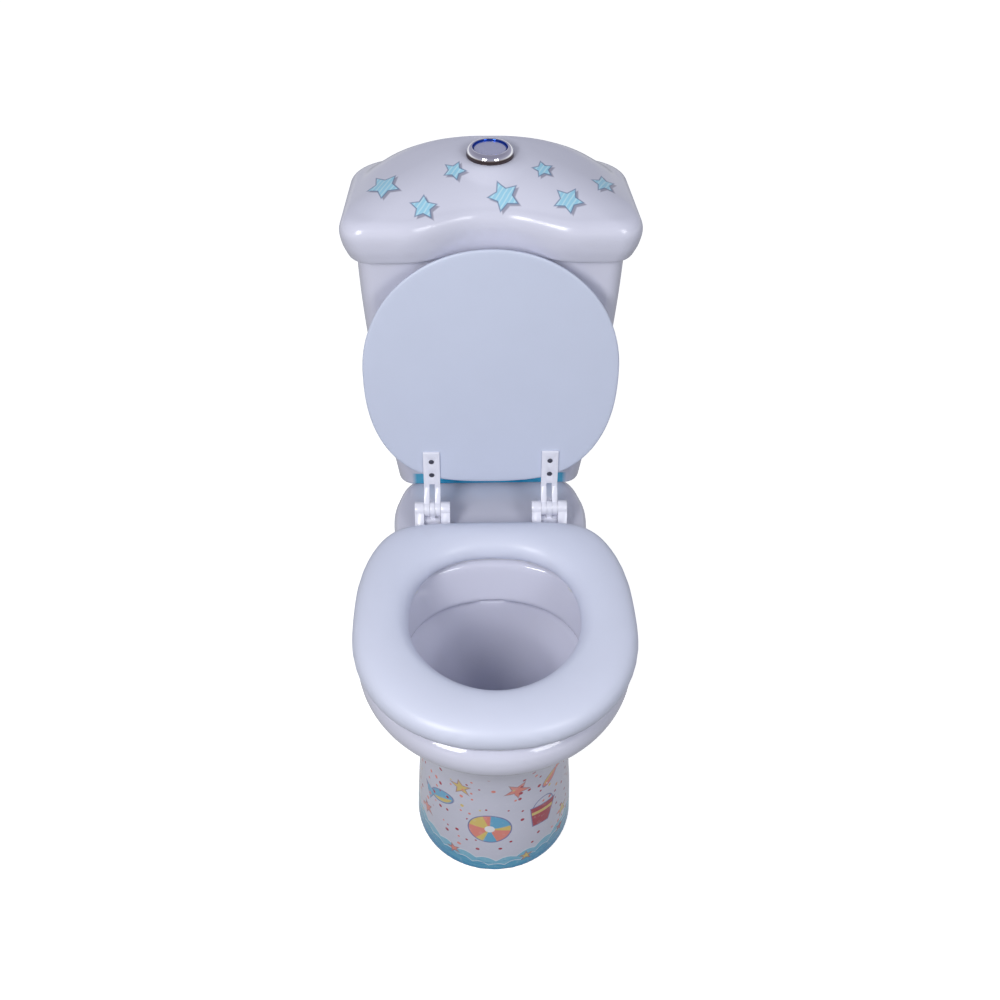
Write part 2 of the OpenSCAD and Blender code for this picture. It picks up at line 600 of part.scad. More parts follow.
float_z0 = tank_floor + 120;
fill_z1 = float_z0 + 55 + float_travel + 5;

module at_inlet(z) translate([-inlet_x, valve_y, z]) children();

module fill_valve_column() color("white") {
    // threaded shank with a run-out groove just below the nut
    at_inlet(tank_z0 - shank_len) tube(shank_r, 6, shank_len - 14);
    at_inlet(tank_z0 - 14 - eps) tube(shank_r - 0.8, 6, 2 + 2 * eps);
    at_inlet(tank_z0 - 12) tube(shank_r, 6, 12 + tank_wall + 1.5);
    at_inlet(tank_floor + 1.5) tube(13.5, 6, 4);
    at_inlet(tank_floor + 5.5) tube(9, 6, fill_z1 - tank_floor - 5.5);
    at_inlet(float_z0 - 6) tube(13, 9, 5.7);
}

module fill_valve_head() color("royalblue") difference() {
    union() {
        at_inlet(fill_z1 + 0.1) cylinder(r = 17, h = 26, $fn = 64);
        at_inlet(fill_z1 + 26.1) cylinder(r1 = 17, r2 = 13, h = 5, $fn = 64);
        at_inlet(fill_z1 + 12) rotate([0, 90, 0]) cylinder(r = 3.5, h = 26, $fn = 48);
    }
    at_inlet(fill_z1) cylinder(r = 6, h = 16, $fn = 48);
    at_inlet(fill_z1 + 12) rotate([0, 90, 0]) cylinder(r = 2, h = 30, $fn = 48);
}

module fill_valve_nut() color("gainsboro") at_inlet(tank_z0 - 12) difference() {
    cylinder(r = 15, h = 12 - rest, $fn = 6);
    translate([0, 0, -eps]) cylinder(r = shank_r, h = 14, $fn = 64);
}

module fill_valve_washer() color("black") at_inlet(tank_floor) tube(13.5, shank_r, 1.5);

module float_cup() color("lightgray") at_inlet(float_z0) difference() {
    cylinder(r = float_r, h = 55, $fn = 64);
    translate([0, 0, -eps]) cylinder(r = 9.4, h = 60, $fn = 64);
    translate([0, 0, -eps]) difference() {
        cylinder(r = float_r - 2, h = 52, $fn = 64);
        cylinder(r = 11.4, h = 52, $fn = 64);
    }
}

// Hose from the head's nipple over to the overflow pipe, relative to the overflow pipe's top
hose_r = 5;
nipple_z = fill_z1 + 12;
over_y = tower_r + overflow_r;               // overflow pipe behind the valve's middle
over_z = max(tower_top - 15, nipple_z) + 29; // highest run of the hose, clear of both ends
hose_path = [[26 - inlet_x, 0, nipple_z], [33 - inlet_x, 0, nipple_z], [42 - inlet_x, 2, nipple_z + 6],
    [48 - inlet_x, 8, nipple_z + 20], [56 - inlet_x, 20, over_z - 5], [-22, over_y - 7, over_z],
    [-8, over_y - 1, over_z - 2], [-1, over_y, over_z - 14], [0, over_y, tower_top - 22]];

module refill_hose() color("white") {
    last = len(hose_path) - 1;
    skin([for (i = [0:last]) let (d = hose_path[min(i + 1, last)] - hose_path[max(i - 1, 0)],
        w = d / norm(d), s0 = cross(w, [0.6, -0.8, 0]), s = s0 / norm(s0), t = cross(w, s))
        [for (k = [0:9]) let (a = 36 * k) [0, valve_y, 0] + hose_path[i]
            + hose_r * (cos(a) * s + sin(a) * t)]]);
}

// Flush button ----------------------------------------------------------------------------------

bezel_top = button_z + bezel_h;
button_top = bezel_top - 1;
neck_r = lid_hole_r;                         // threaded neck of the bezel, through the lid
neck_z0 = button_z - 46;
disc_z0 = button_top - 3;

module button_bezel() color("silver") translate([0, valve_y, 0]) difference() {
    union() {
        translate([0, 0, button_z]) rotate_extrude($fn = 96) polygon(concat([[0, 0], [bezel_r, 0]],
            [for (a = [0:15:75]) [bezel_r - (bezel_r - disc_r - 2) * (1 - cos(a)),
                1.5 + (bezel_h - 1.5) * sin(a)]], [[disc_r + 2, bezel_h], [0, bezel_h]]));
        translate([0, 0, neck_z0]) cylinder(r = neck_r, h = button_z - neck_z0 + eps, $fn = 64);
    }
    translate([0, 0, disc_z0 - press - 1.5]) cylinder(r = disc_r + 1.2, h = 40, $fn = 96);
    translate([0, 0, neck_z0 - eps]) cylinder(r = neck_r - 2.5, h = 60, $fn = 64);
}

module button_liner() color("midnightblue") translate([0, valve_y, disc_z0 - press - 1.4])
    tube(disc_r + 1.15, disc_r + 0.35, bezel_top - disc_z0 + press - 0.6);

module button_nut() color("gainsboro") translate([0, valve_y, lid_ceiling - 9]) difference() {
    cylinder(r = 22, h = 9, $fn = 64);
    translate([0, 0, -eps]) cylinder(r = neck_r, h = 12, $fn = 64);
}

module flush_button() color("lightsteelblue") translate([0, valve_y, 0]) {
    translate([0, 0, disc_z0]) cylinder(r = disc_r, h = 2, $fn = 96);
    translate([0, 0, disc_z0 + 2]) cylinder(r1 = disc_r, r2 = disc_r - 1.2, h = 1, $fn = 96);
    translate([0, 0, disc_z0 - 12]) tube(neck_r - 2.8, neck_r - 4.6, 12);
    translate([-rocker_left, 0, disc_z0 - 10]) tube(rod_r + 1.3, rod_r, 10);
}

module push_rod() color("white") translate([-rocker_left, valve_y, 0]) {
    translate([0, 0, rocker_z + 3 + fit]) cylinder(r = 1.5, h = 8 + eps, $fn = 48);
    translate([0, 0, rocker_z + 11 + fit]) cylinder(r = rod_r, h = disc_z0 - rocker_z - 11 - fit, $fn = 48);
}

// Hinges ----------------------------------------------------------------------------------------

module at_hinge(x) translate([x, hinge_y, hinge_z]) children();

arm_w = (barrel_w - strap_w) / 2 - rest;     // width of each seat knuckle

module hinge_post(s) color("white") at_hinge(s * hinge_gap / 2) difference() {
    union() {
        rod_x(knuckle_r, post_w);
        translate([-post_w / 2, -8, -hinge_h + 4]) cube([post_w, 16, hinge_h - 4]);
        translate([-9.8, -11, -hinge_h]) cube([19.6, 22, hinge_h - knuckle_r - 1]);
        translate([-9.8, -15, -hinge_h]) cube([19.6, 30, 4]);
    }
    rod_x(pin_r + pin_fit, 50);
    translate([0, 0, -hinge_h - eps]) cylinder(r = hinge_bolt_r, h = 9 + eps, $fn = 48);
}

module hinge_post_left() hinge_post(-1);
module hinge_post_right() hinge_post(1);

module hinge_pins() color("silver") both_sides(hinge_gap / 2) at_hinge(0) rod_x(pin_r, barrel_w - 1);

module hinge_bolts() color("white") both_sides(hinge_gap / 2) translate([0, hinge_y, shelf_under - 22])
    cylinder(r = hinge_bolt_r, h = shelf_t + 22 + 9, $fn = 48);

module hinge_washers() color("dimgray") both_sides(hinge_gap / 2) translate([0, hinge_y, shelf_under - 2])
    tube(10, hinge_bolt_r, 2);

module hinge_nuts() color("white") both_sides(hinge_gap / 2) translate([0, hinge_y, shelf_under - 12])
    difference() {
        cylinder(r = 8.5, h = 10, $fn = 6);
        translate([0, 0, -eps]) cylinder(r = hinge_bolt_r, h = 12, $fn = 48);
    }

// Seat ------------------------------------------------------------------------------------------

// One line round the padded ring: k runs from the outer edge (0) to the hole (1)
function pad_line(k, d, z) = k == 0 ? at_height(seat_line(d), z) : k == 1 ? at_height(hole_line(d), z)
    : let (a = seat_line(d), b = hole_line(d)) at_height([for (i = [0:len(a) - 1])
        a[i] * (1 - k) + b[i] * k], z);

module seat_board() color("white") translate([0, 0, seat_z0]) difference() {
    linear_extrude(board_t) difference() {
        polygon(seat_line(board_in));
        polygon(hole_line(board_in));
    }
    both_sides(hinge_gap / 2) for (r = strap_screws) translate([0, hinge_y - r, -eps])
        cylinder(r = screw_r, h = screw_bite + eps, $fn = 48);
}

module seat_pad() color("white") skin([for (p = [
    [0, 6, 0], [0, 1.5, 0.1], [0, 0, 0.3], [0, 1.5, 0.58], [0, 6, 0.79], [0, 14, 0.93], [0, 24, 0.985],
    [0.5, 0, 1], [1, 22, 0.975], [1, 12, 0.89], [1, 4.5, 0.7], [1, 0.8, 0.45], [1, 0, 0.25], [1, 2, 0],
    [1, board_in - rest, 0], [1, board_in - rest, (board_t + rest) / seat_t],
    [0, board_in - rest, (board_t + rest) / seat_t], [0, board_in - rest, 0]])
    pad_line(p[0], p[1], seat_z0 + seat_t * p[2])], loop = true);

module seat_strap(s) color("white") at_hinge(s * hinge_gap / 2) difference() {
    leaf_z = seat_z0 - hinge_z;
    union() {
        both_sides((barrel_w - arm_w) / 2) {
            rod_x(knuckle_r, arm_w);
            along_x(arm_w) polygon([[-knuckle_r, 1], [-24, leaf_z], [-24, leaf_z - strap_t],
                [-13, leaf_z - strap_t], [-2, -knuckle_r + 0.4], [0, 0]]);
        }
        translate([-barrel_w / 2, -40, leaf_z - strap_t]) cube([barrel_w, 21, strap_t]);
        translate([-strap_w / 2, -strap_len, leaf_z - strap_t]) cube([strap_w, strap_len - 30, strap_t]);
    }
    rod_x(pin_r + pin_fit, 60);
    for (r = strap_screws) translate([0, -r, leaf_z - strap_t - eps])
        cylinder(r = screw_r, h = strap_t + 2 * eps, $fn = 48);
}

module seat_strap_left() seat_strap(-1);
module seat_strap_right() seat_strap(1);

module seat_strap_screws() color("silver") both_sides(hinge_gap / 2) for (r = strap_screws)
    translate([0, hinge_y - r, seat_z0 - strap_t]) difference() {
        cylinder(r = screw_r, h = strap_t + screw_bite, $fn = 48);
        translate([-2, -0.4, -eps]) cube([4, 0.8, eps + 0.6]);
    }

module seat_buffers() color("gainsboro") for (p = [[98, -40], [80, -192]]) both_sides(p[0])
    translate([0, p[1], seat_z0 - buffer_h]) cylinder(r = 8, h = buffer_h, $fn = 48);

// Cover, drawn in its own plane: x across, y away from the hinge, z out of its lower face ----------

module cover_plane() translate([0, hinge_y, hinge_z]) rotate([90 - cover_lean, 0, 0]) children();

module cover_board() color("white") cover_plane() translate([0, 0, -cover_face - cover_board_t])
    difference() {
        linear_extrude(cover_board_t) polygon(cover_line(board_edge));
        both_sides(hinge_gap / 2) for (r = strap_screws) translate([0, r, cover_board_t - screw_bite])
            cylinder(r = screw_r, h = screw_bite + eps, $fn = 48);
    }

module cover_pad() color("white") cover_plane() difference() {
    translate([0, 0, -cover_face]) skin([for (p = [[1, 62], [0.98, 40], [0.92, 24], [0.82, 14], [0.66, 6.5],
        [0.48, 2.2], [0.3, 0.3], [0.15, 0], [0, 1]])
        at_height(reversed(cover_line(p[1])), -cover_t * p[0])]);
    translate([0, 0, -cover_face - cover_board_t - rest])
        linear_extrude(cover_board_t + rest + eps) polygon(cover_line(board_edge - rest));
}

function reversed(line) = [for (i = [len(line) - 1:-1:0]) line[i]];

module cover_strap(s) color("white") at_hinge(s * hinge_gap / 2) rotate([-cover_lean, 0, 0]) difference() {
    union() {
        rod_x(knuckle_r, strap_w);
        along_x(strap_w) polygon([[0, 0], [-1, knuckle_r - 0.1], [strap_face, 24],
            [strap_face, strap_len - 1], [strap_face + 1, strap_len], [cover_face, strap_len],
            [cover_face, 16], [knuckle_r - 0.1, -1]]);
    }
    // fork over the post's knuckle, and the pin's two windows low on the front
    translate([-post_w / 2 - rest, -30, -30]) cube([post_w + 2 * rest, 60, 30 + fork_r]);
    both_sides((strap_w + post_w) / 4 + rest / 2) translate([-2.4, -knuckle_r - eps, -knuckle_r + 1])
        cube([4.8, knuckle_r - pin_r, 5]);
    rod_x(pin_r + pin_fit, 50);
    for (r = strap_screws) translate([0, strap_face - eps, r]) rotate([-90, 0, 0]) {
        cylinder(r = screw_r, h = 10, $fn = 48);
        cylinder(r = 3.4, h = 1.3 + eps, $fn = 48);
    }
}

module cover_strap_left() cover_strap(-1);
module cover_strap_right() cover_strap(1);

module cover_strap_screws() color("dimgray") both_sides(hinge_gap / 2) at_hinge(0)
    rotate([-cover_lean, 0, 0]) for (r = strap_screws) translate([0, strap_face + 0.2, r])
        rotate([-90, 0, 0]) difference() {
            union() {
                cylinder(r = 3.2, h = 1.1, $fn = 48);
                cylinder(r = screw_r, h = cover_face - strap_face - 0.2 + screw_bite - 0.2, $fn = 48);
            }
            for (a = [0, 90]) rotate([0, 0, a]) translate([-2, -0.4, -eps]) cube([4, 0.8, eps + 0.6]);
        }

pan();
cistern_tank();
cistern_lid();
tank_gasket();
tank_bolts();
tank_bolt_seals();
tank_bolt_washers();
tank_wing_nuts();
flush_valve_tower();
flush_valve_nut();
flush_valve_seal();
flush_plug();
plug_seal();
flush_rocker();
rocker_pin();
fill_valve_column();
fill_valve_head();
fill_valve_nut();
fill_valve_washer();
float_cup();
refill_hose();
button_bezel();
button_liner();
button_nut();
flush_button();
push_rod();
hinge_post_left();
hinge_post_right();
hinge_pins();
hinge_bolts();
hinge_washers();
hinge_nuts();
seat_board();
seat_pad();
seat_strap_left();
seat_strap_right();
seat_strap_screws();
seat_buffers();
cover_board();
cover_pad();
cover_strap_left();
cover_strap_right();
cover_strap_screws();
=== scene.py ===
"""Looks of a child's close-coupled toilet: glazed china, padded vinyl seat and cover, chrome button."""

import json
import math

import bpy
import numpy as np
from mathutils import Matrix, Vector


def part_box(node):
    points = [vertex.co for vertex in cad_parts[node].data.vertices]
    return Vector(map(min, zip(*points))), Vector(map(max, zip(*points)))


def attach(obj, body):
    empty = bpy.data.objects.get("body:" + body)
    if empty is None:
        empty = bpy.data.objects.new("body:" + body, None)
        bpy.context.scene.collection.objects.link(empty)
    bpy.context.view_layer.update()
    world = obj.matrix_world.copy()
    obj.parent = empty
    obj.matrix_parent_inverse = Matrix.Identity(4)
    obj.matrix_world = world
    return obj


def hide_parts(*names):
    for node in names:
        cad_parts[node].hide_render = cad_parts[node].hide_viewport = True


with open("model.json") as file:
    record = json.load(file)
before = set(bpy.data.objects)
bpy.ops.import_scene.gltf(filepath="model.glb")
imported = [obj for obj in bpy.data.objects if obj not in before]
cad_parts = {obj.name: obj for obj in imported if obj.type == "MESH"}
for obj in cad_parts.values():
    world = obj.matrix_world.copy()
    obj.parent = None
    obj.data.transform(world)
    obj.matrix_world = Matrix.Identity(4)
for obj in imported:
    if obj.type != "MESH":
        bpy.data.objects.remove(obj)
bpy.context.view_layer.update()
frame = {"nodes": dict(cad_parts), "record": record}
nodes = frame["nodes"]
scene = bpy.context.scene

MM = 0.001


def box_mm(node):
    """Lowest and highest corner of a node, in millimetres."""
    low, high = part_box(node)
    return np.array(low) / MM, np.array(high) / MM


# Places, all read from the frame ------------------------------------------------------------------

pan_high = box_mm("pan")[1]
pad_low, pad_high = box_mm("seat_pad")
pins_low, pins_high = box_mm("hinge_pins")
tank_low, tank_high = box_mm("cistern_tank")
lid_low, lid_high = box_mm("cistern_lid")
bezel_low, bezel_high = box_mm("button_bezel")
disc_high = box_mm("flush_button")[1]
cover_low, cover_high = box_mm("cover_pad")
gasket_low, gasket_high = box_mm("tank_gasket")

rim_z = pan_high[2]
seat_w = pad_high[0] - pad_low[0]
seat_y0, seat_y1 = pad_low[1], pad_high[1]
seat_len = seat_y1 - seat_y0
seat_yc = (seat_y0 + seat_y1) / 2
hinge_y = (pins_low[1] + pins_high[1]) / 2
hinge_z = (pins_low[2] + pins_high[2]) / 2
valve_y = (gasket_low[1] + gasket_high[1]) / 2
cover_w = cover_high[0] - cover_low[0]
BEZEL_H = 10.0
bezel_base = bezel_high[2] - BEZEL_H
DISC_R = 18.5


# Meshes -------------------------------------------------------------------------------------------


def new_piece(name, points, faces, material=None, smooth=True):
    """Mesh object from points in millimetres."""
    mesh = bpy.data.meshes.new(name)
    mesh.from_pydata((np.asarray(points, float) * MM).tolist(), [], faces)
    mesh.validate()
    mesh.update()
    if smooth:
        mesh.shade_smooth()
    piece = bpy.data.objects.new(name, mesh)
    scene.collection.objects.link(piece)
    if material:
        mesh.materials.append(material)
    return piece


def loft(name, rings, material=None, loop=False):
    """Closed skin over rings of equal length; a loop joins the last ring to the first."""
    rings = np.asarray(rings, float)
    rows, count = rings.shape[:2]
    points = rings.reshape(-1, 3)
    faces = []
    for row in range(rows if loop else rows - 1):
        above = (row + 1) % rows
        for i in range(count):
            k = (i + 1) % count
            faces.append((row * count + i, row * count + k, above * count + k, above * count + i))
    if not loop:
        middles = rings[[0, -1]].mean(axis=1)
        points = np.vstack([points, middles])
        bottom, top = rows * count, rows * count + 1
        for i in range(count):
            k = (i + 1) % count
            faces.append((bottom, k, i))
            faces.append((top, (rows - 1) * count + i, (rows - 1) * count + k))
    return new_piece(name, points, faces, material)


def catmull(rows, steps):
    """Smooth curve through rows of numbers, steps to a span."""
    rows = np.asarray(rows, float)
    padded = np.concatenate([rows[:1], rows, rows[-1:]])
    out = []
    for i in range(len(rows) - 1):
        a, b, c, d = padded[i : i + 4]
        for u in np.arange(steps) / steps:
            out.append(
                0.5 * (2 * b + (c - a) * u + (2 * a - 5 * b + 4 * c - d) * u**2
                       + (3 * b - a - 3 * c + d) * u**3)
            )
    out.append(rows[-1])
    return np.array(out)


def at_height(line, z):
    """Outline of x and y as a level ring at height z."""
    return np.column_stack([line, np.full(len(line), float(z))])


def signed_power(v, e):
    """Power of the size of v, with the sign of v."""
    return np.sign(v) * np.abs(v) ** e


def flattened(v, cap, far):
    """Presses the far end of an outline flat at cap, softly, when it would run out to far."""
    if far <= cap:
        return v
    safe = np.maximum(v, 1e-3)
    pressed = (safe**-12.0 + cap**-12.0 - far**-12.0) ** (-1 / 12)
    return np.where(v <= 0, v, pressed)


def oval(a, f, b, y, front_n=2.0, back_n=2.0, over=0.0, count=160):
    """Oval of half width a that reaches f to the front and b to the back of y."""
    t = 2 * math.pi * np.arange(count) / count
    n = np.where(np.sin(t) < 0, front_n, back_n)
    v = signed_power(np.sin(t), 2 / n)
    across = a * signed_power(np.cos(t), 2 / n)
    along = np.where(v < 0, f * v, flattened((b + over) * v, b, b + over))
    return np.column_stack([across, y + along])


def seat_line(d, count=200):
    """Outline of the seat, drawn in by d."""
    return oval(seat_w / 2 - d, seat_len / 2 - d, seat_len / 2 - d, seat_yc, 2.15, 2.6, 34, count)


HOLE_W, HOLE_LEN, SEAT_FRONT = 195.0, 209.6, 74.8
hole_yc = seat_y0 + SEAT_FRONT + HOLE_LEN / 2


def hole_line(d, count=200):
    """Outline of the seat's hole, widened by d."""
    return oval(HOLE_W / 2 + d, HOLE_LEN / 2 + d, HOLE_LEN / 2 + d, hole_yc, 1.92, 2.33, count=count)


# Surface of a solid given by a field of distances, negative inside --------------------------------


def smooth_min(a, b, k):
    """Union of two fields, with a fillet of about k where they meet."""
    h = np.maximum(k - np.abs(a - b), 0) / k
    return np.minimum(a, b) - h * h * k / 4


def smooth_max(a, b, k):
    """Common part of two fields, rounded by about k where they meet."""
    return -smooth_min(-a, -b, k)


def neighbours(at, others, steps, shape):
    """Cells beside edges of the grid, moved back by steps along the two other axes, and which exist."""
    cell = at.copy()
    cell[:, others[0]] -= steps[0]
    cell[:, others[1]] -= steps[1]
    return cell, np.all((cell >= 0) & (cell < shape), axis=1)


def surface_net(field, low, step):
    """Quads on the zero surface of a grid of values: one point in each cell that the surface crosses."""
    shape = np.array(field.shape) - 1
    total = np.zeros((*shape, 3), np.float32)
    hits = np.zeros(shape, np.float32)
    crossings = []
    for axis in range(3):
        first = np.take(field, range(field.shape[axis] - 1), axis)
        second = np.take(field, range(1, field.shape[axis]), axis)
        at = np.argwhere((first < 0) != (second < 0))
        fa, fb = first[tuple(at.T)], second[tuple(at.T)]
        place = at.astype(np.float32)
        place[:, axis] += fa / (fa - fb)
        others = [k for k in range(3) if k != axis]
        crossings.append((axis, others, at, fa < 0))
        for steps in ((0, 0), (0, 1), (1, 0), (1, 1)):
            cell, ok = neighbours(at, others, steps, shape)
            np.add.at(total, tuple(cell[ok].T), place[ok])
            np.add.at(hits, tuple(cell[ok].T), 1)
    live = hits > 0
    index = np.full(shape, -1, np.int64)
    index[live] = np.arange(live.sum())
    points = total[live] / hits[live][:, None]
    quads = []
    for axis, others, at, outward in crossings:
        corners = []
        for steps in ((0, 0), (1, 0), (1, 1), (0, 1)):
            cell, ok = neighbours(at, others, steps, shape)
            number = np.full(len(cell), -1)
            number[ok] = index[tuple(cell[ok].T)]
            corners.append(number)
        quad = np.column_stack(corners)
        flip = outward if axis == 1 else ~outward
        quad[flip] = quad[flip][:, ::-1]
        quads.append(quad[np.all(quad >= 0, axis=1)])
    return points * step + low, np.vstack(quads)


def keyed(z, table):
    """Columns of a table of heights and values, smoothly between its rows and level outside them."""
    table = np.asarray(table, float)
    heights = table[:, 0]
    slopes = np.gradient(table[:, 1:], heights, axis=0)
    z = np.clip(z, heights[0], heights[-1])
    i = np.clip(np.searchsorted(heights, z) - 1, 0, len(heights) - 2)
    span = heights[i + 1] - heights[i]
    u = ((z - heights[i]) / span)[:, None]
    a, b = table[i, 1:], table[i + 1, 1:]
    s, t = slopes[i] * span[:, None], slopes[i + 1] * span[:, None]
    return (a * (2 * u**3 - 3 * u**2 + 1) + s * (u**3 - 2 * u**2 + u)
            + b * (3 * u**2 - 2 * u**3) + t * (u**3 - u**2)).T


def true_scale(field, step):
    """Divides a field by its own slope, so that it counts in millimetres near its surface."""
    slope = np.sqrt(sum(g * g for g in np.gradient(field, step)))
    return field / np.maximum(slope, 0.25)


def oval_field(x, y, a, front, back, middle, front_n, back_n):
    """Distance, about, to ovals whose sizes are arrays that vary with height."""
    dy = y - middle
    n = np.where(dy < 0, front_n, back_n)
    reach = np.where(dy < 0, middle - front, back - middle)
    grown = ((np.abs(x) / a) ** n + (np.abs(dy) / reach) ** n) ** (1 / n)
    return np.sqrt(x * x + dy * dy) * (1 - 1 / np.maximum(grown, 1e-3)) + np.where(grown < 1e-3, -50, 0)


# Pan ----------------------------------------------------------------------------------------------

CHINA = 10.0
FOOT_W, WAIST_W, RIM_W = 194.2, 177.0, 318.0
MOUTH_W, MOUTH_LEN, MOUTH_FLARE = 214.0, 207.6, 12.0
mouth_yc = seat_yc + 4
mouth_back = mouth_yc + MOUTH_LEN / 2
LIP_Z = rim_z - 56
SHELF_UNDER = rim_z - 14
foot_front = seat_y0 + 38.6
foot_yc = foot_front + FOOT_W / 2
SLOT_W, SLOT_H = 34.0, 9.0
SUMP_FLOOR = 62.0
SHELF_FRONT, SHELF_BACK, SHELF_MIDDLE = -60.0, 264.0, 40.0
LUG_X, LUG_Y, LUG_R, LUG_H, SCREW_R = 80.0, 118.0, 15.0, 14.0, 4.0
OUTLET_Y, OUTLET_R, OUTLET_TOP, TRAP_R = 130.0, 36.0, 60.0, 25.0
GRID_STEP = 3.0


def outer_body(x, y, heights, step):
    """Foot, waist, bowl and rim as one form of ovals: half width, front, back and middle by height."""
    rows = keyed(heights, [
        [0, FOOT_W / 2, foot_front, 70, foot_yc],
        [60, FOOT_W / 2 - 2.5, seat_y0 + 40, 70, foot_yc],
        [120, WAIST_W / 2 + 2, seat_y0 + 43, 68, foot_yc],
        [160, WAIST_W / 2 + 1, seat_y0 + 43, 62, foot_yc + 8],
        [195, WAIST_W / 2 + 13, seat_y0 + 38, 55, seat_yc - 10],
        [222, RIM_W / 2 - 35, seat_y0 + 27, 48, seat_yc],
        [240, RIM_W / 2 - 14, seat_y0 + 12, 44, seat_yc],
        [251, RIM_W / 2 - 3, seat_y0 + 3.5, 44, seat_yc],
        [262, RIM_W / 2, seat_y0 + 1, 44, seat_yc],
        [274, RIM_W / 2 - 2, seat_y0 + 3, 43, seat_yc],
        [286, RIM_W / 2 - 7, seat_y0 + 8, 40, seat_yc]])
    return true_scale(oval_field(x, y, *rows, 2.0, 2.3), step)


def back_shelf(x, y, heights, step):
    """Shelf: its half width along the length, drawn in towards its lower edge."""
    scale = keyed(heights, [[190, 0.55], [200, 0.62], [225, 0.8], [246, 0.95], [262, 1], [290, 1]])[0]
    along = (y - SHELF_MIDDLE) / scale + SHELF_MIDDLE
    half = keyed(along.ravel(), [[-60, 100], [-50, 110.5], [40, 118.5], [128, 118.5], [160, 104.5],
                                 [182, 79], [200, 75], [240, 75], [266, 70]])[0].reshape(along.shape)
    shelf = smooth_max((np.abs(x) / scale - half) * scale, (along - SHELF_BACK) * scale, 34)
    return true_scale(smooth_max(shelf, (SHELF_FRONT - along) * scale, 4), step)


def floor_lugs(x, y, z):
    """Lugs behind the foot for the floor screws."""
    round_end = np.hypot(np.abs(x) - LUG_X, y - LUG_Y) - LUG_R
    root = np.maximum(np.abs(y - LUG_Y) - LUG_R, np.abs(np.abs(x) - LUG_X + LUG_R) - LUG_R)
    return smooth_max(smooth_max(np.minimum(round_end, root), z - LUG_H, 5), -z, 2)


def bowl_space(x, y, z, heights, step):
    """Room inside the bowl: half width, front and back by height."""
    rows = keyed(heights, [
        [SUMP_FLOOR, 24, -130, -66], [84, 38, -144, -48], [110, 50, -158, -30], [150, 66, -176, -12],
        [195, 86, -206, -5], [LIP_Z - 4, MOUTH_W / 2 + 6, -225, -4]])
    bowl = true_scale(oval_field(x, y, *rows, (rows[1] + rows[2]) / 2, 2.0, 2.3), step)
    return smooth_max(bowl, SUMP_FLOOR - z, 30)


def trap_space(x, y, z):
    """Round passage from the sump over the weir and down to the outlet."""
    reach = np.full(y.shape[1:], 1e6, np.float32)
    path = catmull([[-92, 84], [-49, 64], [30, 84], [60, 122], [94, 140], [122, 122],
                    [OUTLET_Y, 84], [OUTLET_Y, 50]], 6)
    plane_y, plane_z = y[0], z[0]
    for (y0, z0), (y1, z1) in zip(path[:-1], path[1:]):
        t = ((plane_y - y0) * (y1 - y0) + (plane_z - z0) * (z1 - z0)) / ((y1 - y0) ** 2 + (z1 - z0) ** 2)
        t = np.clip(t, 0, 1)
        reach = np.minimum(reach, np.hypot(plane_y - y0 - t * (y1 - y0), plane_z - z0 - t * (z1 - z0)))
    return np.sqrt(x * x + reach[None] ** 2) - TRAP_R


def flush_slot(x, y, z):
    """Slot behind the mouth through which the flush water enters."""
    slot = np.sqrt((x / (SLOT_W / 2)) ** 2 + ((z - LIP_Z + 1) / (SLOT_H / 2)) ** 2) - 1
    return np.maximum(slot * 4, np.abs(y - mouth_back - 4) - 14)


def mouth_space(x, y, z, heights):
    """Opening inside the rim, flaring upwards."""
    lean = MOUTH_FLARE * np.clip((heights - LIP_Z - 6) / 45, 0, 1)
    reach = MOUTH_LEN / 2 + lean
    mouth = oval_field(x, y, MOUTH_W / 2 + lean, mouth_yc - reach, mouth_yc + reach, mouth_yc, 2.2, 2.2)
    return np.maximum(mouth, LIP_Z - 4 - z)


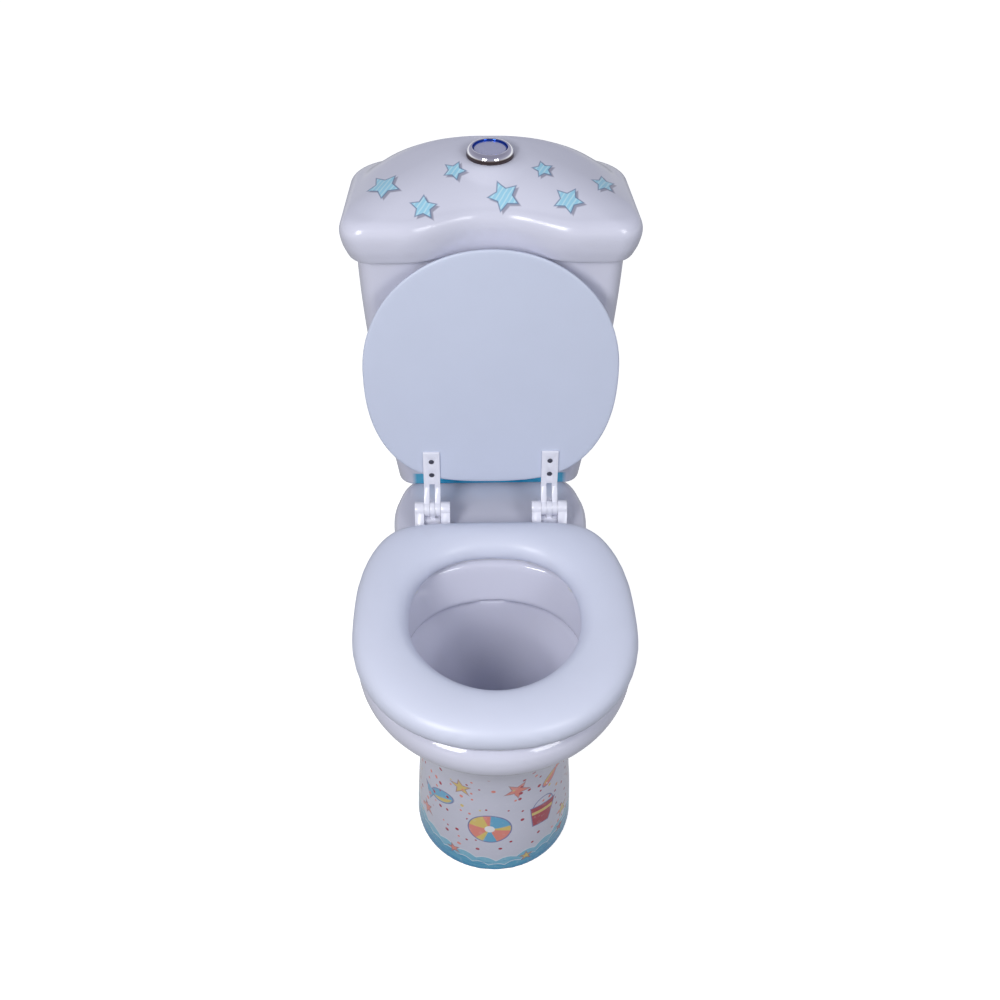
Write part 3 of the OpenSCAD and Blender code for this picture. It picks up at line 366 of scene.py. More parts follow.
def pan_body(grid, step):
    """Field of the whole pan: bowl and foot, shelf, hollow foot, bowl, trap, outlet and lugs."""
    x, y, z = grid
    heights = z[0, 0, :]
    body = outer_body(x, y, heights, step)
    shelf = back_shelf(x, y, heights, step)
    shelf_solid = smooth_max(shelf, 203 - z, 14)
    trunk_grow = keyed(heights, [[0, 0], [130, -2], [210, 4], [290, 8]])[0]
    trunk = true_scale(oval_field(x, y, 62 + trunk_grow, -80, 190, 40, 2.5, 3.0), step)
    trunk_solid = smooth_max(trunk, z - 240, 4)
    solid = smooth_min(smooth_min(body, trunk_solid, 26), shelf_solid, 30)
    solid = smooth_max(solid, z - rim_z, 15)
    solid = smooth_max(solid, -z, 5)
    solid = smooth_max(smooth_min(solid, floor_lugs(x, y, z), 10), -z, 1)

    bowl = bowl_space(x, y, z, heights, step)
    trap = trap_space(x, y, z)
    outlet = np.maximum(np.hypot(x, y - OUTLET_Y) - OUTLET_R, z - OUTLET_TOP)
    outlet_shell = np.maximum(
        np.maximum(np.hypot(x, y - OUTLET_Y) - OUTLET_R - 8, z - OUTLET_TOP - CHINA), 8 - z)
    slot_wall = np.maximum(np.maximum(np.abs(x) - 26, np.abs(y - mouth_back - 7) - 23), LIP_Z - 14 - z)

    # the foot's hollow stops short of the bowl, the trap, the outlet and the slot
    hollow = np.minimum(smooth_max(body + CHINA, z - 214, 6), smooth_max(trunk + CHINA + 2, z - 242, 6))
    for shell in (bowl - CHINA, trap - 8, outlet_shell, slot_wall):
        hollow = smooth_max(hollow, -shell, 6)
    under = smooth_max(shelf + CHINA, z - SHELF_UNDER, 4)
    under = smooth_max(smooth_max(under, 37 - y, 6), 192 - z, 6)
    flush_way = np.minimum(np.maximum(np.abs(x) - 32, y - valve_y), np.hypot(x, y - valve_y) - 40)
    under = smooth_max(under, -np.maximum(flush_way, 240 - z), 6)
    solid = smooth_max(solid, -hollow, 4)
    solid = smooth_max(solid, -under, 4)

    bowl_open = smooth_max(bowl, z - LIP_Z + 2, 5)
    screw = np.hypot(np.abs(x) - LUG_X, y - LUG_Y) - SCREW_R
    for cut, k in ((bowl_open, 6), (mouth_space(x, y, z, heights), 9), (flush_slot(x, y, z), 2),
                   (trap, 4), (outlet, 3), (screw, 1)):
        solid = smooth_max(solid, -cut, k)
    return solid


def build_pan(material):
    """Glazed pan, as the zero surface of its field on a grid."""
    low = np.array([-165.0, seat_y0 - 9, -7.5])
    size = np.array([330.0, pan_high[1] - low[1] + 9, rim_z + 15])
    counts = np.ceil(size / GRID_STEP).astype(int) + 1
    axes = [low[k] + GRID_STEP * np.arange(counts[k], dtype=np.float32) for k in range(3)]
    field = pan_body(np.meshgrid(*axes, indexing="ij"), GRID_STEP)
    points, quads = surface_net(field, low, GRID_STEP)
    return new_piece("pan_glazed", points, quads.tolist(), material)


# Cistern ------------------------------------------------------------------------------------------


def ease(u):
    """Smooth step from 0 to 1."""
    return (1 - np.cos(math.pi * np.clip(u, 0, 1))) / 2


def box_line(hw, y0, y1, r, dip, back_in=0.0, back_r=None, steps=56, arc=12):
    """Rounded box outline with a hollow of depth dip in the middle of its front.

    Its back is narrower by back_in on each side, and its back corners have the radius back_r.
    """
    back_r = back_r or r
    back_x = hw - back_in - back_r
    x = (hw - r) * (2 * np.arange(steps + 1) / steps - 1)
    front = np.column_stack([x, y0 + dip * (1 - ease((np.abs(x) - 8) / 92))])
    up = math.pi / 2 * np.arange(1, arc + 1) / arc
    down = math.pi / 2 * np.arange(0, arc + 1) / arc
    last = math.pi / 2 * np.arange(0, arc) / arc
    return np.vstack([
        front,
        np.column_stack([hw - r + r * np.sin(up), y0 + r - r * np.cos(up)]),
        np.column_stack([back_x + back_r * np.cos(down), y1 - back_r + back_r * np.sin(down)]),
        np.column_stack([-back_x - back_r * np.sin(down), y1 - back_r + back_r * np.cos(down)]),
        np.column_stack([-hw + r - r * np.cos(last), y0 + r - r * np.sin(last)])])


TANK_BOTTOM_W, TANK_D, TANK_RECESS, TANK_WALL, TANK_EDGE = 234.0, 139.0, 14.0, 10.0, 8.0
tank_h = tank_high[2] - tank_low[2]
tank_top_w = tank_high[0] - tank_low[0]
tank_y1 = tank_high[1]
tank_y0 = tank_y1 - TANK_D


def tank_ring(z, d):
    """Level outline of the cistern at height z, drawn in by d."""
    u = (z - tank_low[2]) / tank_h
    half = TANK_BOTTOM_W / 2 + (tank_top_w - TANK_BOTTOM_W) / 2 * math.sin(math.pi / 2 * min(u, 1))
    dip = TANK_RECESS * u**1.7
    return at_height(box_line(half - d, tank_y0 + 6 * u - dip + d, tank_y1 - d, 18 - d * 0.6, dip, 6 * u), z)


def build_tank(material):
    """Cistern: outside, brim, inside and floor as one skin."""
    z0, z1 = tank_low[2], tank_high[2]
    edge = [tank_ring(z0 + TANK_EDGE * (1 - math.cos(a)), TANK_EDGE * (1 - math.sin(a)))
            for a in np.linspace(0, math.pi / 2, 9)]
    outside = [tank_ring(z, 0) for z in np.linspace(z0 + TANK_EDGE, z1 - 2, 40)[1:]]
    brim = [tank_ring(z1 - 0.6, 0.5), tank_ring(z1, 2), tank_ring(z1, TANK_WALL - 2),
            tank_ring(z1 - 0.6, TANK_WALL - 0.5)]
    inside = [tank_ring(z, TANK_WALL) for z in np.linspace(z1 - 2, z0 + TANK_WALL + 6, 24)]
    floor = [tank_ring(z0 + TANK_WALL + 2, TANK_WALL + 2), tank_ring(z0 + TANK_WALL, TANK_WALL + 8)]
    return loft("cistern_glazed", edge + outside + brim + inside + floor, material)


LID_H, LID_LIP, LID_WALL, LID_RECESS = 88.0, 33.0, 9.0, 28.0
lid_w = lid_high[0] - lid_low[0]
lid_front = lid_low[1]
lid_z0 = lid_low[2]
crown_z = lid_z0 + LID_H
CROWN_H = LID_H - LID_LIP - 20
CROWN_IN = 16.0
crown_y0, crown_y1 = lid_front + CROWN_IN, tank_y1 - 13.8
crest_y = tank_y1 - 30
BUTTON_SEAT, BUTTON_FLAT = 27.0, 46.0


def lid_ring(h, d):
    """Outline of the lid's lip at height h above its edge, drawn in by d."""
    back_r = 26 + 22 * min(max((h - 12) / 21, 0), 1)
    return at_height(box_line(lid_w / 2 - d, lid_front + d, tank_y1 - 1 - d * 0.8, 26,
                              LID_RECESS - d * 0.4, 6, back_r), lid_z0 + h)


def crown_ring(u):
    """Ring of the crown: the lip's outline at u = 1, rounder towards the crest near the back."""
    half = lid_w / 2 - CROWN_IN
    line = box_line(half, crown_y0, crown_y1, 34, LID_RECESS - 6.4, 6, 54)
    v = line[:, 1] - crest_y
    reach = np.hypot(line[:, 0] / half, v / np.where(v < 0, crest_y - crown_y0, crown_y1 - crest_y))[:, None]
    own = np.column_stack([line[:, 0], v])
    w = u**1.5
    flat = u * (w * own + (1 - w) * own / reach) + [0, crest_y]
    ring = at_height(flat, crown_z - CROWN_H * u**2.2)
    # the crown is levelled a little round the button
    away = np.hypot(ring[:, 0], ring[:, 1] - valve_y)
    level = 1 - ease((away - BUTTON_SEAT) / (BUTTON_FLAT - BUTTON_SEAT))
    seat_z = bezel_base + 0.4
    ring[:, 2] += level * (seat_z - ring[:, 2])
    return ring


def build_lid(material):
    """Domed lid: its inside over the cistern's brim, then its lip and crown."""
    z0 = lid_z0
    lip = [lid_ring(0, 9), lid_ring(1.2, 7.6), lid_ring(LID_LIP * 0.2, 5.5), lid_ring(LID_LIP * 0.55, 2),
           lid_ring(LID_LIP, 0), lid_ring(LID_LIP + 10, 2.5), lid_ring(LID_LIP + 16, 8)]
    keys = lip + [crown_ring(u) for u in (1, 0.93, 0.86)]
    outside = list(catmull(keys, 5))
    outside += [crown_ring(u) for u in np.linspace(0.84, 0.015, 42)]
    brim = tank_high[2]

    def at_brim(d, z):
        line = tank_ring(brim, d)[:, :2]
        return at_height(np.column_stack([line[:, 0], np.minimum(line[:, 1], tank_y1 - 9)]), z)

    inside = [at_brim(-2, z0 + 0.5), at_brim(-1.5, z0 + 2), at_brim(-1.5, brim - 0.5), at_brim(0, brim + 0.3),
              at_brim(TANK_WALL - 1, brim + 0.3), at_brim(TANK_WALL, brim + 1),
              at_brim(TANK_WALL + 4, z0 + LID_LIP + 8), at_brim(TANK_WALL + 24, crown_z - CROWN_H - LID_WALL),
              at_brim(TANK_WALL + 30, crown_z - LID_WALL - 15)]
    return loft("cistern_lid_glazed", inside[::-1] + outside, material)


# Padding ------------------------------------------------------------------------------------------


def pad_section(rows, first_line, second_line):
    """Rings round a padded ring: each row gives 0 outside to 1 at the hole, a step in, and a height."""
    rings = []
    for k, d, z in rows:
        if k == 0:
            line = first_line(d)
        elif k == 1:
            line = second_line(d)
        else:
            line = first_line(d) * (1 - k) + second_line(d) * k
        rings.append(at_height(line, z))
    return rings


SWELL_FRAMES, SWELL_VOXEL, SWELL_PRESSURE = 20, 5.0, 4.0


def swell(piece, cap):
    """Remeshes a padded piece and lets it swell as cloth under pressure, no point further than cap."""
    remesh = piece.modifiers.new("even mesh", "REMESH")
    remesh.mode = "VOXEL"
    remesh.voxel_size = SWELL_VOXEL * MM
    apply_modifiers(piece)
    before = np.array([v.co for v in piece.data.vertices])
    cloth = piece.modifiers.new("swell", "CLOTH")
    cloth.settings.use_pressure = True
    cloth.settings.uniform_pressure_force = SWELL_PRESSURE
    cloth.settings.effector_weights.gravity = 0
    cloth.settings.tension_stiffness = 40
    cloth.settings.bending_stiffness = 5
    cloth.point_cache.frame_start, cloth.point_cache.frame_end = 1, SWELL_FRAMES
    for number in range(1, SWELL_FRAMES + 1):
        scene.frame_set(number)
    apply_modifiers(piece)
    after = np.array([v.co for v in piece.data.vertices])
    move = after - before
    length = np.linalg.norm(move, axis=1, keepdims=True)
    move *= np.minimum(1, cap * MM / np.maximum(length, 1e-9))
    piece.data.vertices.foreach_set("co", (before + move).astype(np.float32).ravel())
    piece.data.update()
    scene.frame_set(1)
    relax = piece.modifiers.new("relax", "SMOOTH")
    relax.factor, relax.iterations = 0.5, 12
    finer = piece.modifiers.new("finer", "SUBSURF")
    finer.levels = finer.render_levels = 1
    apply_modifiers(piece)
    piece.data.shade_smooth()
    return piece


def apply_modifiers(piece):
    """Puts what the modifiers make into the mesh itself."""
    bpy.context.view_layer.update()
    graph = bpy.context.evaluated_depsgraph_get()
    mesh = bpy.data.meshes.new_from_object(piece.evaluated_get(graph), depsgraph=graph)
    piece.modifiers.clear()
    piece.data = mesh


def build_seat_pad(material):
    """Padded ring of the seat; rows give place across, step in and height as a share of thickness."""
    z0, t = pad_low[2], pad_high[2] - pad_low[2]
    rows = [(0, 9, 0.02), (0, 3, 0.05), (0, 0.8, 0.16), (0, 0.1, 0.34), (0, 1.0, 0.56), (0, 4.2, 0.77),
            (0, 11, 0.915), (0, 20, 0.97), (0.42, 0, 0.985), (0.62, 0, 0.98), (1, 22, 0.955),
            (1, 12, 0.87), (1, 5, 0.69), (1, 1.2, 0.46), (1, 0.6, 0.26), (1, 2.4, 0.08), (1, 8, 0.02)]
    keys = [(k, d, z0 + t * h) for k, d, h in rows]
    rings = pad_section(keys, seat_line, hole_line)
    rings = list(catmull(rings, 3))
    piece = loft("seat_padding", rings, material, loop=True)
    return swell(piece, 1.2)


# Cover, drawn in its own plane: x across, y away from the hinge, z out of its face ----------------

COVER_LEN, COVER_GAP = 315.0, 30.0
COVER_OPEN = 94.7
COVER_LEAN = math.radians(COVER_OPEN - 90)
COVER_BEHIND = 15.5
cover_turn = Matrix.Rotation(math.pi / 2 - COVER_LEAN, 3, "X")


def cover_line(d, count=220):
    """Outline of the cover in its own plane, drawn in by d."""
    b = COVER_LEN / 2
    line = oval(cover_w / 2 - d, b - d, b - d, 0, 2.05, 2.45, 8, count)
    return np.column_stack([line[:, 0], COVER_GAP + b - line[:, 1]])


def on_cover(points):
    """Carries points of the cover's own plane to where the open cover stands."""
    turned = np.asarray(points) @ np.array(cover_turn).T
    return turned + [0, hinge_y, hinge_z]


def build_cover(face_material, pad_material):
    """Flat face of the cover and the padding behind it."""
    rings = [on_cover(at_height(cover_line(d), -COVER_BEHIND - z)) for z, d in
             [(0.15, 70), (0.12, 30), (0.1, 8), (0.12, 3.6), (0.35, 1.8), (1.0, 0.6), (2.0, 0.2),
              (3.2, 0.5), (4.2, 2.2), (4.4, 6)]]
    face = loft("cover_face", rings, face_material)
    pad_rows = [(3.6, 40), (3.4, 12), (3.5, 4), (4.4, 1.4), (6.2, 0.7), (8.6, 1.6), (11, 5), (13.4, 11.5),
                (15.4, 22), (16.9, 38), (17.5, 60), (17.7, 90)]
    rings = [on_cover(at_height(cover_line(d), -COVER_BEHIND - z)) for z, d in catmull(pad_rows, 2)]
    pad = loft("cover_padding", rings, pad_material)
    return face, swell(pad, 1.0)


# Button -------------------------------------------------------------------------------------------


def lathe(name, profile, material, middle=(0.0, 0.0), count=160, closed=True):
    """Turns a profile of radius and height about an upright axis."""
    angles = 2 * math.pi * np.arange(count) / count
    ring = np.column_stack([np.cos(angles), np.sin(angles)])
    rings = [np.column_stack([ring * r + middle, np.full(count, z)]) for r, z in profile]
    return loft(name, rings, material, loop=closed)


def build_bezel(material):
    """Round ring of the push button, rising to a rounded bore."""
    r = (bezel_high[0] - bezel_low[0]) / 2
    top = bezel_high[2]
    base = bezel_base
    bore = DISC_R + 1.2
    curve = [(r - 5, base + 0.2), (r - 0.2, base + 0.2), (r, base + 0.9)]
    curve += [(r - (r - bore - 1.6) * (1 - math.cos(a)), base + 1.6 + (top - base - 1.6) * math.sin(a))
              for a in np.linspace(0.05, math.pi / 2, 16)]
    curve += [(bore + 0.7, top - 0.05), (bore + 0.15, top - 0.5), (bore, top - 1.2), (bore, base - 4)]
    return lathe("button_ring", curve, material, (0, valve_y))


def build_disc(material):
    """Push disc, slightly dished."""
    top = disc_high[2] - 1.0
    curve = [(0.4, top - 0.25), (8, top - 0.2), (14, top - 0.05), (DISC_R - 1.6, top),
             (DISC_R - 0.7, top - 0.1), (DISC_R - 0.1, top - 0.6), (DISC_R, top - 1.2),
             (DISC_R, top - 3), (0.4, top - 3)]
    return lathe("push_disc", curve, material, (0, valve_y), closed=False)


# Finishes -----------------------------------------------------------------------------------------


class Wire:
    """A socket of a finish's nodes; sums and products of it add the Math nodes that they need."""

    def __init__(self, finish, socket):
        self.finish, self.socket = finish, socket

    def math(self, operation, *others, clamp=False):
        return self.finish.node("ShaderNodeMath", {"operation": operation, "use_clamp": clamp},
                                {i: v for i, v in enumerate((self, *others))})

    def __add__(self, other):
        return self.math("ADD", other)

    def __sub__(self, other):
        return self.math("SUBTRACT", other)

    def __mul__(self, other):
        return self.math("MULTIPLY", other)

    def __truediv__(self, other):
        return self.math("DIVIDE", other)

    def __pow__(self, other):
        return self.math("POWER", other)

    def __neg__(self):
        return self.math("MULTIPLY", -1.0)

    def __abs__(self):
        return self.math("ABSOLUTE")

    def __rsub__(self, other):
        return self.finish.node("ShaderNodeMath", {"operation": "SUBTRACT"}, {0: other, 1: self})

    def __rtruediv__(self, other):
        return self.finish.node("ShaderNodeMath", {"operation": "DIVIDE"}, {0: other, 1: self})

    __radd__ = __add__
    __rmul__ = __mul__

    def least(self, other):
        return self.math("MINIMUM", other)

    def most(self, other):
        return self.math("MAXIMUM", other)

    def above(self, edge, soft=0.4):
        """0 below the edge and 1 above it, over a soft width."""
        return self.finish.node("ShaderNodeMath", {"operation": "ADD", "use_clamp": True},
                                {0: (self - edge) * (1 / soft), 1: 0.5})

    def below(self, edge, soft=0.4):
        """1 below the edge and 0 above it, over a soft width."""
        return self.finish.node("ShaderNodeMath", {"operation": "ADD", "use_clamp": True},
                                {0: (self - edge) * (-1 / soft), 1: 0.5})


class Finish:
    """A material made of nodes round one Principled BSDF; lengths in it are millimetres."""

    def __init__(self, name, color, **plain):
        self.material = bpy.data.materials.new(name)
        self.material.use_nodes = True
        self.tree = self.material.node_tree
        self.shader = self.tree.nodes["Principled BSDF"]
        self.shader.inputs["Base Color"].default_value = (*color, 1)
        for key, value in plain.items():
            self.shader.inputs[key.replace("_", " ").title().replace("Ior", "IOR")].default_value = value
        place = self.node("ShaderNodeTexCoord", output="Object")
        self.place = self.node("ShaderNodeVectorMath", {"operation": "SCALE"}, {0: place, "Scale": 1000.0})
        self.x, self.y, self.z = (self.node("ShaderNodeSeparateXYZ", {}, {0: self.place}, axis)
                                  for axis in ("X", "Y", "Z"))

    def node(self, kind, settings=None, inputs=None, output=0):
        """Adds a node: its settings first, then values or wires for its inputs; gives one output."""
        added = self.tree.nodes.new(kind)
        for key, value in (settings or {}).items():
            if key == "stops":
                self.stops(added.color_ramp, value)
            else:
                setattr(added, key, value)
        for key, value in (inputs or {}).items():
            if isinstance(value, Wire):
                self.tree.links.new(value.socket, added.inputs[key])
            else:
                added.inputs[key].default_value = value
        return Wire(self, added.outputs[output])

    @staticmethod
    def stops(ramp, stops):
        """Sets a ramp's stops, each a place and a colour."""
        while len(ramp.elements) < len(stops):
            ramp.elements.new(0.5)
        for element, (place, color) in zip(ramp.elements, stops):
            element.position, element.color = place, (*color, 1)

    def drive(self, key, value):
        """Wires a value to a socket of the shader."""
        self.tree.links.new(value.socket, self.shader.inputs[key])

    def noise(self, size, detail=2.0, stretch=(1, 1, 1), rough=0.5):
        """Soft noise about 0.5 whose blotches are about size across."""
        place = self.place
        if stretch != (1, 1, 1):
            place = self.node("ShaderNodeVectorMath", {"operation": "MULTIPLY"}, {0: place, 1: stretch})
        return self.node("ShaderNodeTexNoise", {}, {"Vector": place, "Scale": 1 / size, "Detail": detail,
                                                    "Roughness": rough}, "Fac")

    def cells(self, size):
        """Distance to the nearest of scattered points about size apart."""
        return self.node("ShaderNodeTexVoronoi", {}, {"Vector": self.place, "Scale": 1 / size}, "Distance")

    def blend(self, mask, under, over):
        """Colour under where the mask is 0 and over where it is 1."""
        mixed = self.node("ShaderNodeMix", {"data_type": "RGBA"}, {"Factor": mask}, 2)
        for index, value in ((6, under), (7, over)):
            socket = mixed.socket.node.inputs[index]
            if isinstance(value, Wire):
                self.tree.links.new(value.socket, socket)
            else:
                socket.default_value = (*value, 1)
        return mixed

    def shade(self, color, amount, by):
        """Colour made lighter and darker by up to amount, as the wire by runs from 0 to 1."""
        light = [min(1, c * (1 + amount)) for c in color]
        dark = [c * (1 - amount) for c in color]
        return self.blend(by, dark, light)

    def bump(self, height, depth):
        """Relief of the given depth, in millimetres."""
        relief = self.node("ShaderNodeBump", {}, {"Height": height, "Distance": depth * MM, "Strength": 1.0},
                           "Normal")
        self.drive("Normal", relief)

    def rough(self, low, high, by):
        """Roughness from low to high, as the wire by runs from 0 to 1."""
        self.drive("Roughness", by * (high - low) + low)


CHINA_WHITE = (0.64, 0.65, 0.77)
LID_PRINT_LEAN = math.radians(50)
lid_print_v = (lid_front + 45) * math.sin(LID_PRINT_LEAN) + (lid_z0 + 60) * math.cos(LID_PRINT_LEAN)
SKY, SKY_LINE, SEA, SEA_DEEP = (0.33, 0.63, 0.80), (0.14, 0.22, 0.36), (0.08, 0.40, 0.62), (0.02, 0.27, 0.53)
RED, SALMON, YELLOW, NAVY = (0.42, 0.03, 0.06), (0.80, 0.25, 0.20), (0.72, 0.55, 0.16), (0.10, 0.13, 0.36)


def turned(u, v, middle, degrees=0.0, size=(1.0, 1.0)):
    """Coordinates from a middle, turned and scaled, so that each motif is drawn round its own origin."""
    c, s = math.cos(math.radians(degrees)), math.sin(math.radians(degrees))
    du, dv = u - middle[0], v - middle[1]
    across = du * (c / size[0]) + dv * (s / size[0])
    up = dv * (c / size[1]) - du * (s / size[1])
    return across, up


def length(a, b):
    """Length of a vector of two wires."""
    return (a * a + b * b) ** 0.5


def star(a, b, r, points=5, waist=0.52):
    """Distance-like value of a star with tips at r, below 0 inside."""
    step = math.pi / points
    angle = a.math("ARCTAN2", b)
    folded = abs(angle.math("WRAP", step, -step))
    reach = length(a, b)
    tip, inner = np.array([r, 0.0]), r * waist * np.array([math.cos(step), math.sin(step)])
    edge = inner - tip
    normal = np.array([edge[1], -edge[0]]) / np.hypot(*edge)
    off = float(normal @ tip)
    return reach * (folded.math("COSINE") * float(normal[0]) + folded.math("SINE") * float(normal[1])) - off


def china_glaze(name, prints=None, gloss=0.06):
    """Bluish white glaze with a soft orange-peel relief; prints paints over its plain colour."""
    finish = Finish(name, CHINA_WHITE, roughness=0.08, ior=1.5)
    clouding = finish.noise(70, 3)
    specks = finish.noise(2.2, 1).above(0.76, 0.05)
    color = finish.shade(CHINA_WHITE, 0.022, clouding)
    color = finish.blend(specks * 0.18, color, (0.55, 0.55, 0.62))
    if prints:
        color = prints(finish, color)
    finish.drive("Base Color", color)
    finish.rough(gloss, gloss + 0.05, finish.noise(25, 2))
    finish.bump(finish.noise(16, 2) + finish.noise(5, 1) * 0.18, 0.10)
    return finish


def lid_stars(finish, color):
    """Hatched pale blue stars with a grey shadow below to the right, over the front of the lid's crown."""
    u, v = finish.x, finish.y * math.sin(LID_PRINT_LEAN) + finish.z * math.cos(LID_PRINT_LEAN)
    v = v - lid_print_v
    places = [(-118, 18, 19, 12), (-74, -14, 15, -20), (-40, 34, 13, 30), (14, 2, 18, 5),
              (58, 36, 12, -8), (84, -6, 17, 24), (126, 22, 14, -15)]
    shapes, shadows = [], []
    for px, pv, size, turn in places:
        a, b = turned(u, v, (px, pv), turn + 90)
        shapes.append(star(a, b, size))
        a, b = turned(u, v, (px + 2.6, pv - 2.6), turn + 90)
        shadows.append(star(a, b, size))
    near, far = shapes[0], shadows[0]
    for shape, shadow in zip(shapes[1:], shadows[1:]):
        near, far = near.least(shape), far.least(shadow)
    up = finish.z.above(lid_z0 + LID_LIP, 2) * finish.y.below(valve_y, 4)
    color = finish.blend(far.below(0.3, 1.4) * up * 0.75, color, (0.22, 0.22, 0.30))
    color = finish.blend(near.below(0.6, 0.9) * up * 0.8, color, SKY_LINE)
    hatch = ((u * 0.9 + v * -0.55) * 1.25 + finish.noise(9, 1) * 2).math("SINE")
    inside = finish.blend(hatch.above(0.55, 0.5) * 0.7, SKY, (0.55, 0.78, 0.87))
    return finish.blend(near.below(-0.7, 0.7) * up, color, inside)


PRINT_R = 92.0
DROP_GAP = 13.0


def beach_print(finish, color):
    """Beach things in flat colours round the front of the foot, above a scalloped band of water."""
    turn = finish.x.math("ARCTAN2", foot_yc - finish.y)
    s, v = turn * PRINT_R, finish.z
    sketch = finish.noise(7, 2)
    front = (foot_yc + 62 - finish.y).above(0, 10)
    on_foot = front * finish.z.below(214, 4)

    def paint(color, shape, tone, line=None, soft=0.9):
        """Fills a shape flat, with a darker drawn edge."""
        if line:
            color = finish.blend(shape.below(1.0, soft) * on_foot * 0.85, color, line)
        return finish.blend(shape.below(-0.2, soft) * on_foot, color, tone)

    # water: two scalloped layers and brushed streaks
    for base, height, swing, tone, shift in ((30, 5.5, 24.0, (0.20, 0.52, 0.70), 0.0),
                                             (19, 4.5, 19.0, SEA, 9.0)):
        scallop = abs(((s + shift) * (math.pi / swing)).math("SINE")) * height
        grow = abs(s) * 0.19
        shape = v - (scallop + grow + base - 8)
        color = paint(color, shape, tone, (0.86, 0.88, 0.95))
    streak = finish.noise(6, 3, (0.25, 0.25, 1.6)).above(0.55, 0.12) * v.below(26, 8)
    color = finish.blend(streak * on_foot * 0.55, color, SEA_DEEP)
    color = finish.blend((v + abs(s) * -0.1).below(6, 5) * on_foot, color, (0.01, 0.30, 0.58))

    # beach ball: turned panels in four colours
    a, b = turned(s, v, (-8, 88), 20)
    ball = length(a, b) - 25
    panels = (a.math("ARCTAN2", b) * 3).math("SINE")
    face = finish.blend(panels.above(0, 0.12), (0.74, 0.56, 0.15), SALMON)
    wide_panels = (a.math("ARCTAN2", b) * 1.5).math("SINE")
    face = finish.blend(wide_panels.above(0.55, 0.1), face, (0.12, 0.42, 0.66))
    face = finish.blend(length(a, b).below(6, 0.8), face, (0.85, 0.86, 0.9))
    color = finish.blend(ball.below(1.3, 0.9) * on_foot * 0.9, color, NAVY)
    color = finish.blend(ball.below(-0.2, 0.9) * on_foot, color, face)

    # bucket with a handle
    a, b = turned(s, v, (58, 92), -8)
    bucket = (abs(a) - (b * 0.22 + 15)).most(abs(b) - 17)
    handle = abs(length(a, b - 15) - 15.5) - 0.9
    color = paint(color, handle.most(16 - b), NAVY)
    color = paint(color, bucket, RED, NAVY)
    color = finish.blend(abs(b - 6).below(2.6, 0.6) * bucket.below(-0.6, 0.6) * on_foot, color, YELLOW)

    # fish
    for middle, degrees, size, tone in (((-72, 116), 28, 1.0, (0.14, 0.44, 0.68)),
                                        ((72, 148), -150, 0.72, SALMON)):
        a, b = turned(s, v, middle, degrees, (size, size))
        body = length(a / 19, b / 9.5) - 1
        tail = (abs(b) - (a * -1 - 14) * 0.75).most(-a - 30).most(a + 14)
        color = paint(color, (body * 9).least(tail), tone, NAVY)
        color = finish.blend((body * 9).below(-1, 1) * b.below(-2.5, 1.2) * on_foot, color, YELLOW)
        color = finish.blend(length(a - 11, b - 2.5).below(1.7, 0.6) * on_foot, color, (0.9, 0.9, 0.95))

    # starfish and shells
    for middle, degrees, size, tone in (((-44, 156), 10, 13, YELLOW), ((24, 160), 40, 15, SALMON),
                                        ((-98, 66), 30, 10, SALMON), ((96, 60), 5, 11, YELLOW),
                                        ((-52, 30), 20, 7, SALMON), ((36, 22), 0, 7, YELLOW),
                                        ((90, 30), 50, 7, RED)):
        a, b = turned(s, v, middle, degrees)
        color = paint(color, star(a, b, size, 5, 0.42), tone, (0.35, 0.12, 0.12))

    # drops and bubbles
    scatter = finish.node("ShaderNodeCombineXYZ", {}, {"X": s, "Y": v, "Z": 0.0})
    spots, tones = (finish.node("ShaderNodeTexVoronoi", {"voronoi_dimensions": "2D"},
                                {"Vector": scatter, "Scale": 1 / DROP_GAP, "Randomness": 0.85}, part)
                    for part in ("Distance", "Color"))
    red, green, blue = (finish.node("ShaderNodeSeparateColor", {}, {0: tones}, part)
                        for part in ("Red", "Green", "Blue"))
    dot = finish.blend(red.above(0.5, 0.02), finish.blend(red.above(0.75, 0.02), RED, (0.12, 0.32, 0.66)),
                       finish.blend(green.above(0.5, 0.02), YELLOW, SALMON))
    clear = green.above(0.45, 0.02) * v.above(42, 4) * v.below(188, 4)
    clear = clear * ball.above(4, 1) * bucket.above(4, 1)
    color = finish.blend((spots * DROP_GAP - blue * 1.4).below(1.3, 0.6) * clear * on_foot, color, dot)
    # the transfer is a shade rough and thin at its edges
    return finish.blend(sketch.above(0.62, 0.1) * 0.10 * on_foot, color, (0.80, 0.82, 0.90))


def cistern_print(finish, color):
    """Brushed blue band along the bottom of the cistern's front."""
    v = finish.z - tank_low[2]
    ragged = finish.noise(9, 3, (0.3, 1, 1)) * 7
    front = (tank_y0 + 34 - finish.y).above(0, 3)
    band = (v + ragged).below(25, 2.2) * front
    color = finish.blend(band * abs(finish.x).below(98, 6), color, SEA)
    streak = finish.noise(5, 3, (0.2, 1, 1.5)).above(0.5, 0.15)
    core = (v + ragged * 0.6).below(13, 3) * front * abs(finish.x).below(88, 10)
    return finish.blend(core * (streak * 0.5 + 0.5), color, (0.0, 0.27, 0.52))


def vinyl(name, tone, grain, soft):
    """Padding's skin: a fine pebbled grain, slight clouding and a low satin gloss."""
    finish = Finish(name, tone, roughness=soft, specular_ior_level=0.45,
                    coat_weight=0.12, coat_roughness=0.25)
    finish.drive("Base Color", finish.shade(tone, 0.02, finish.noise(45, 3)))
    pebble = finish.cells(grain) * 0.7 + finish.noise(grain * 0.5, 1) * 0.6
    finish.rough(soft - 0.05, soft + 0.05, finish.noise(14, 2))
    finish.bump(pebble, 0.05)
    return finish


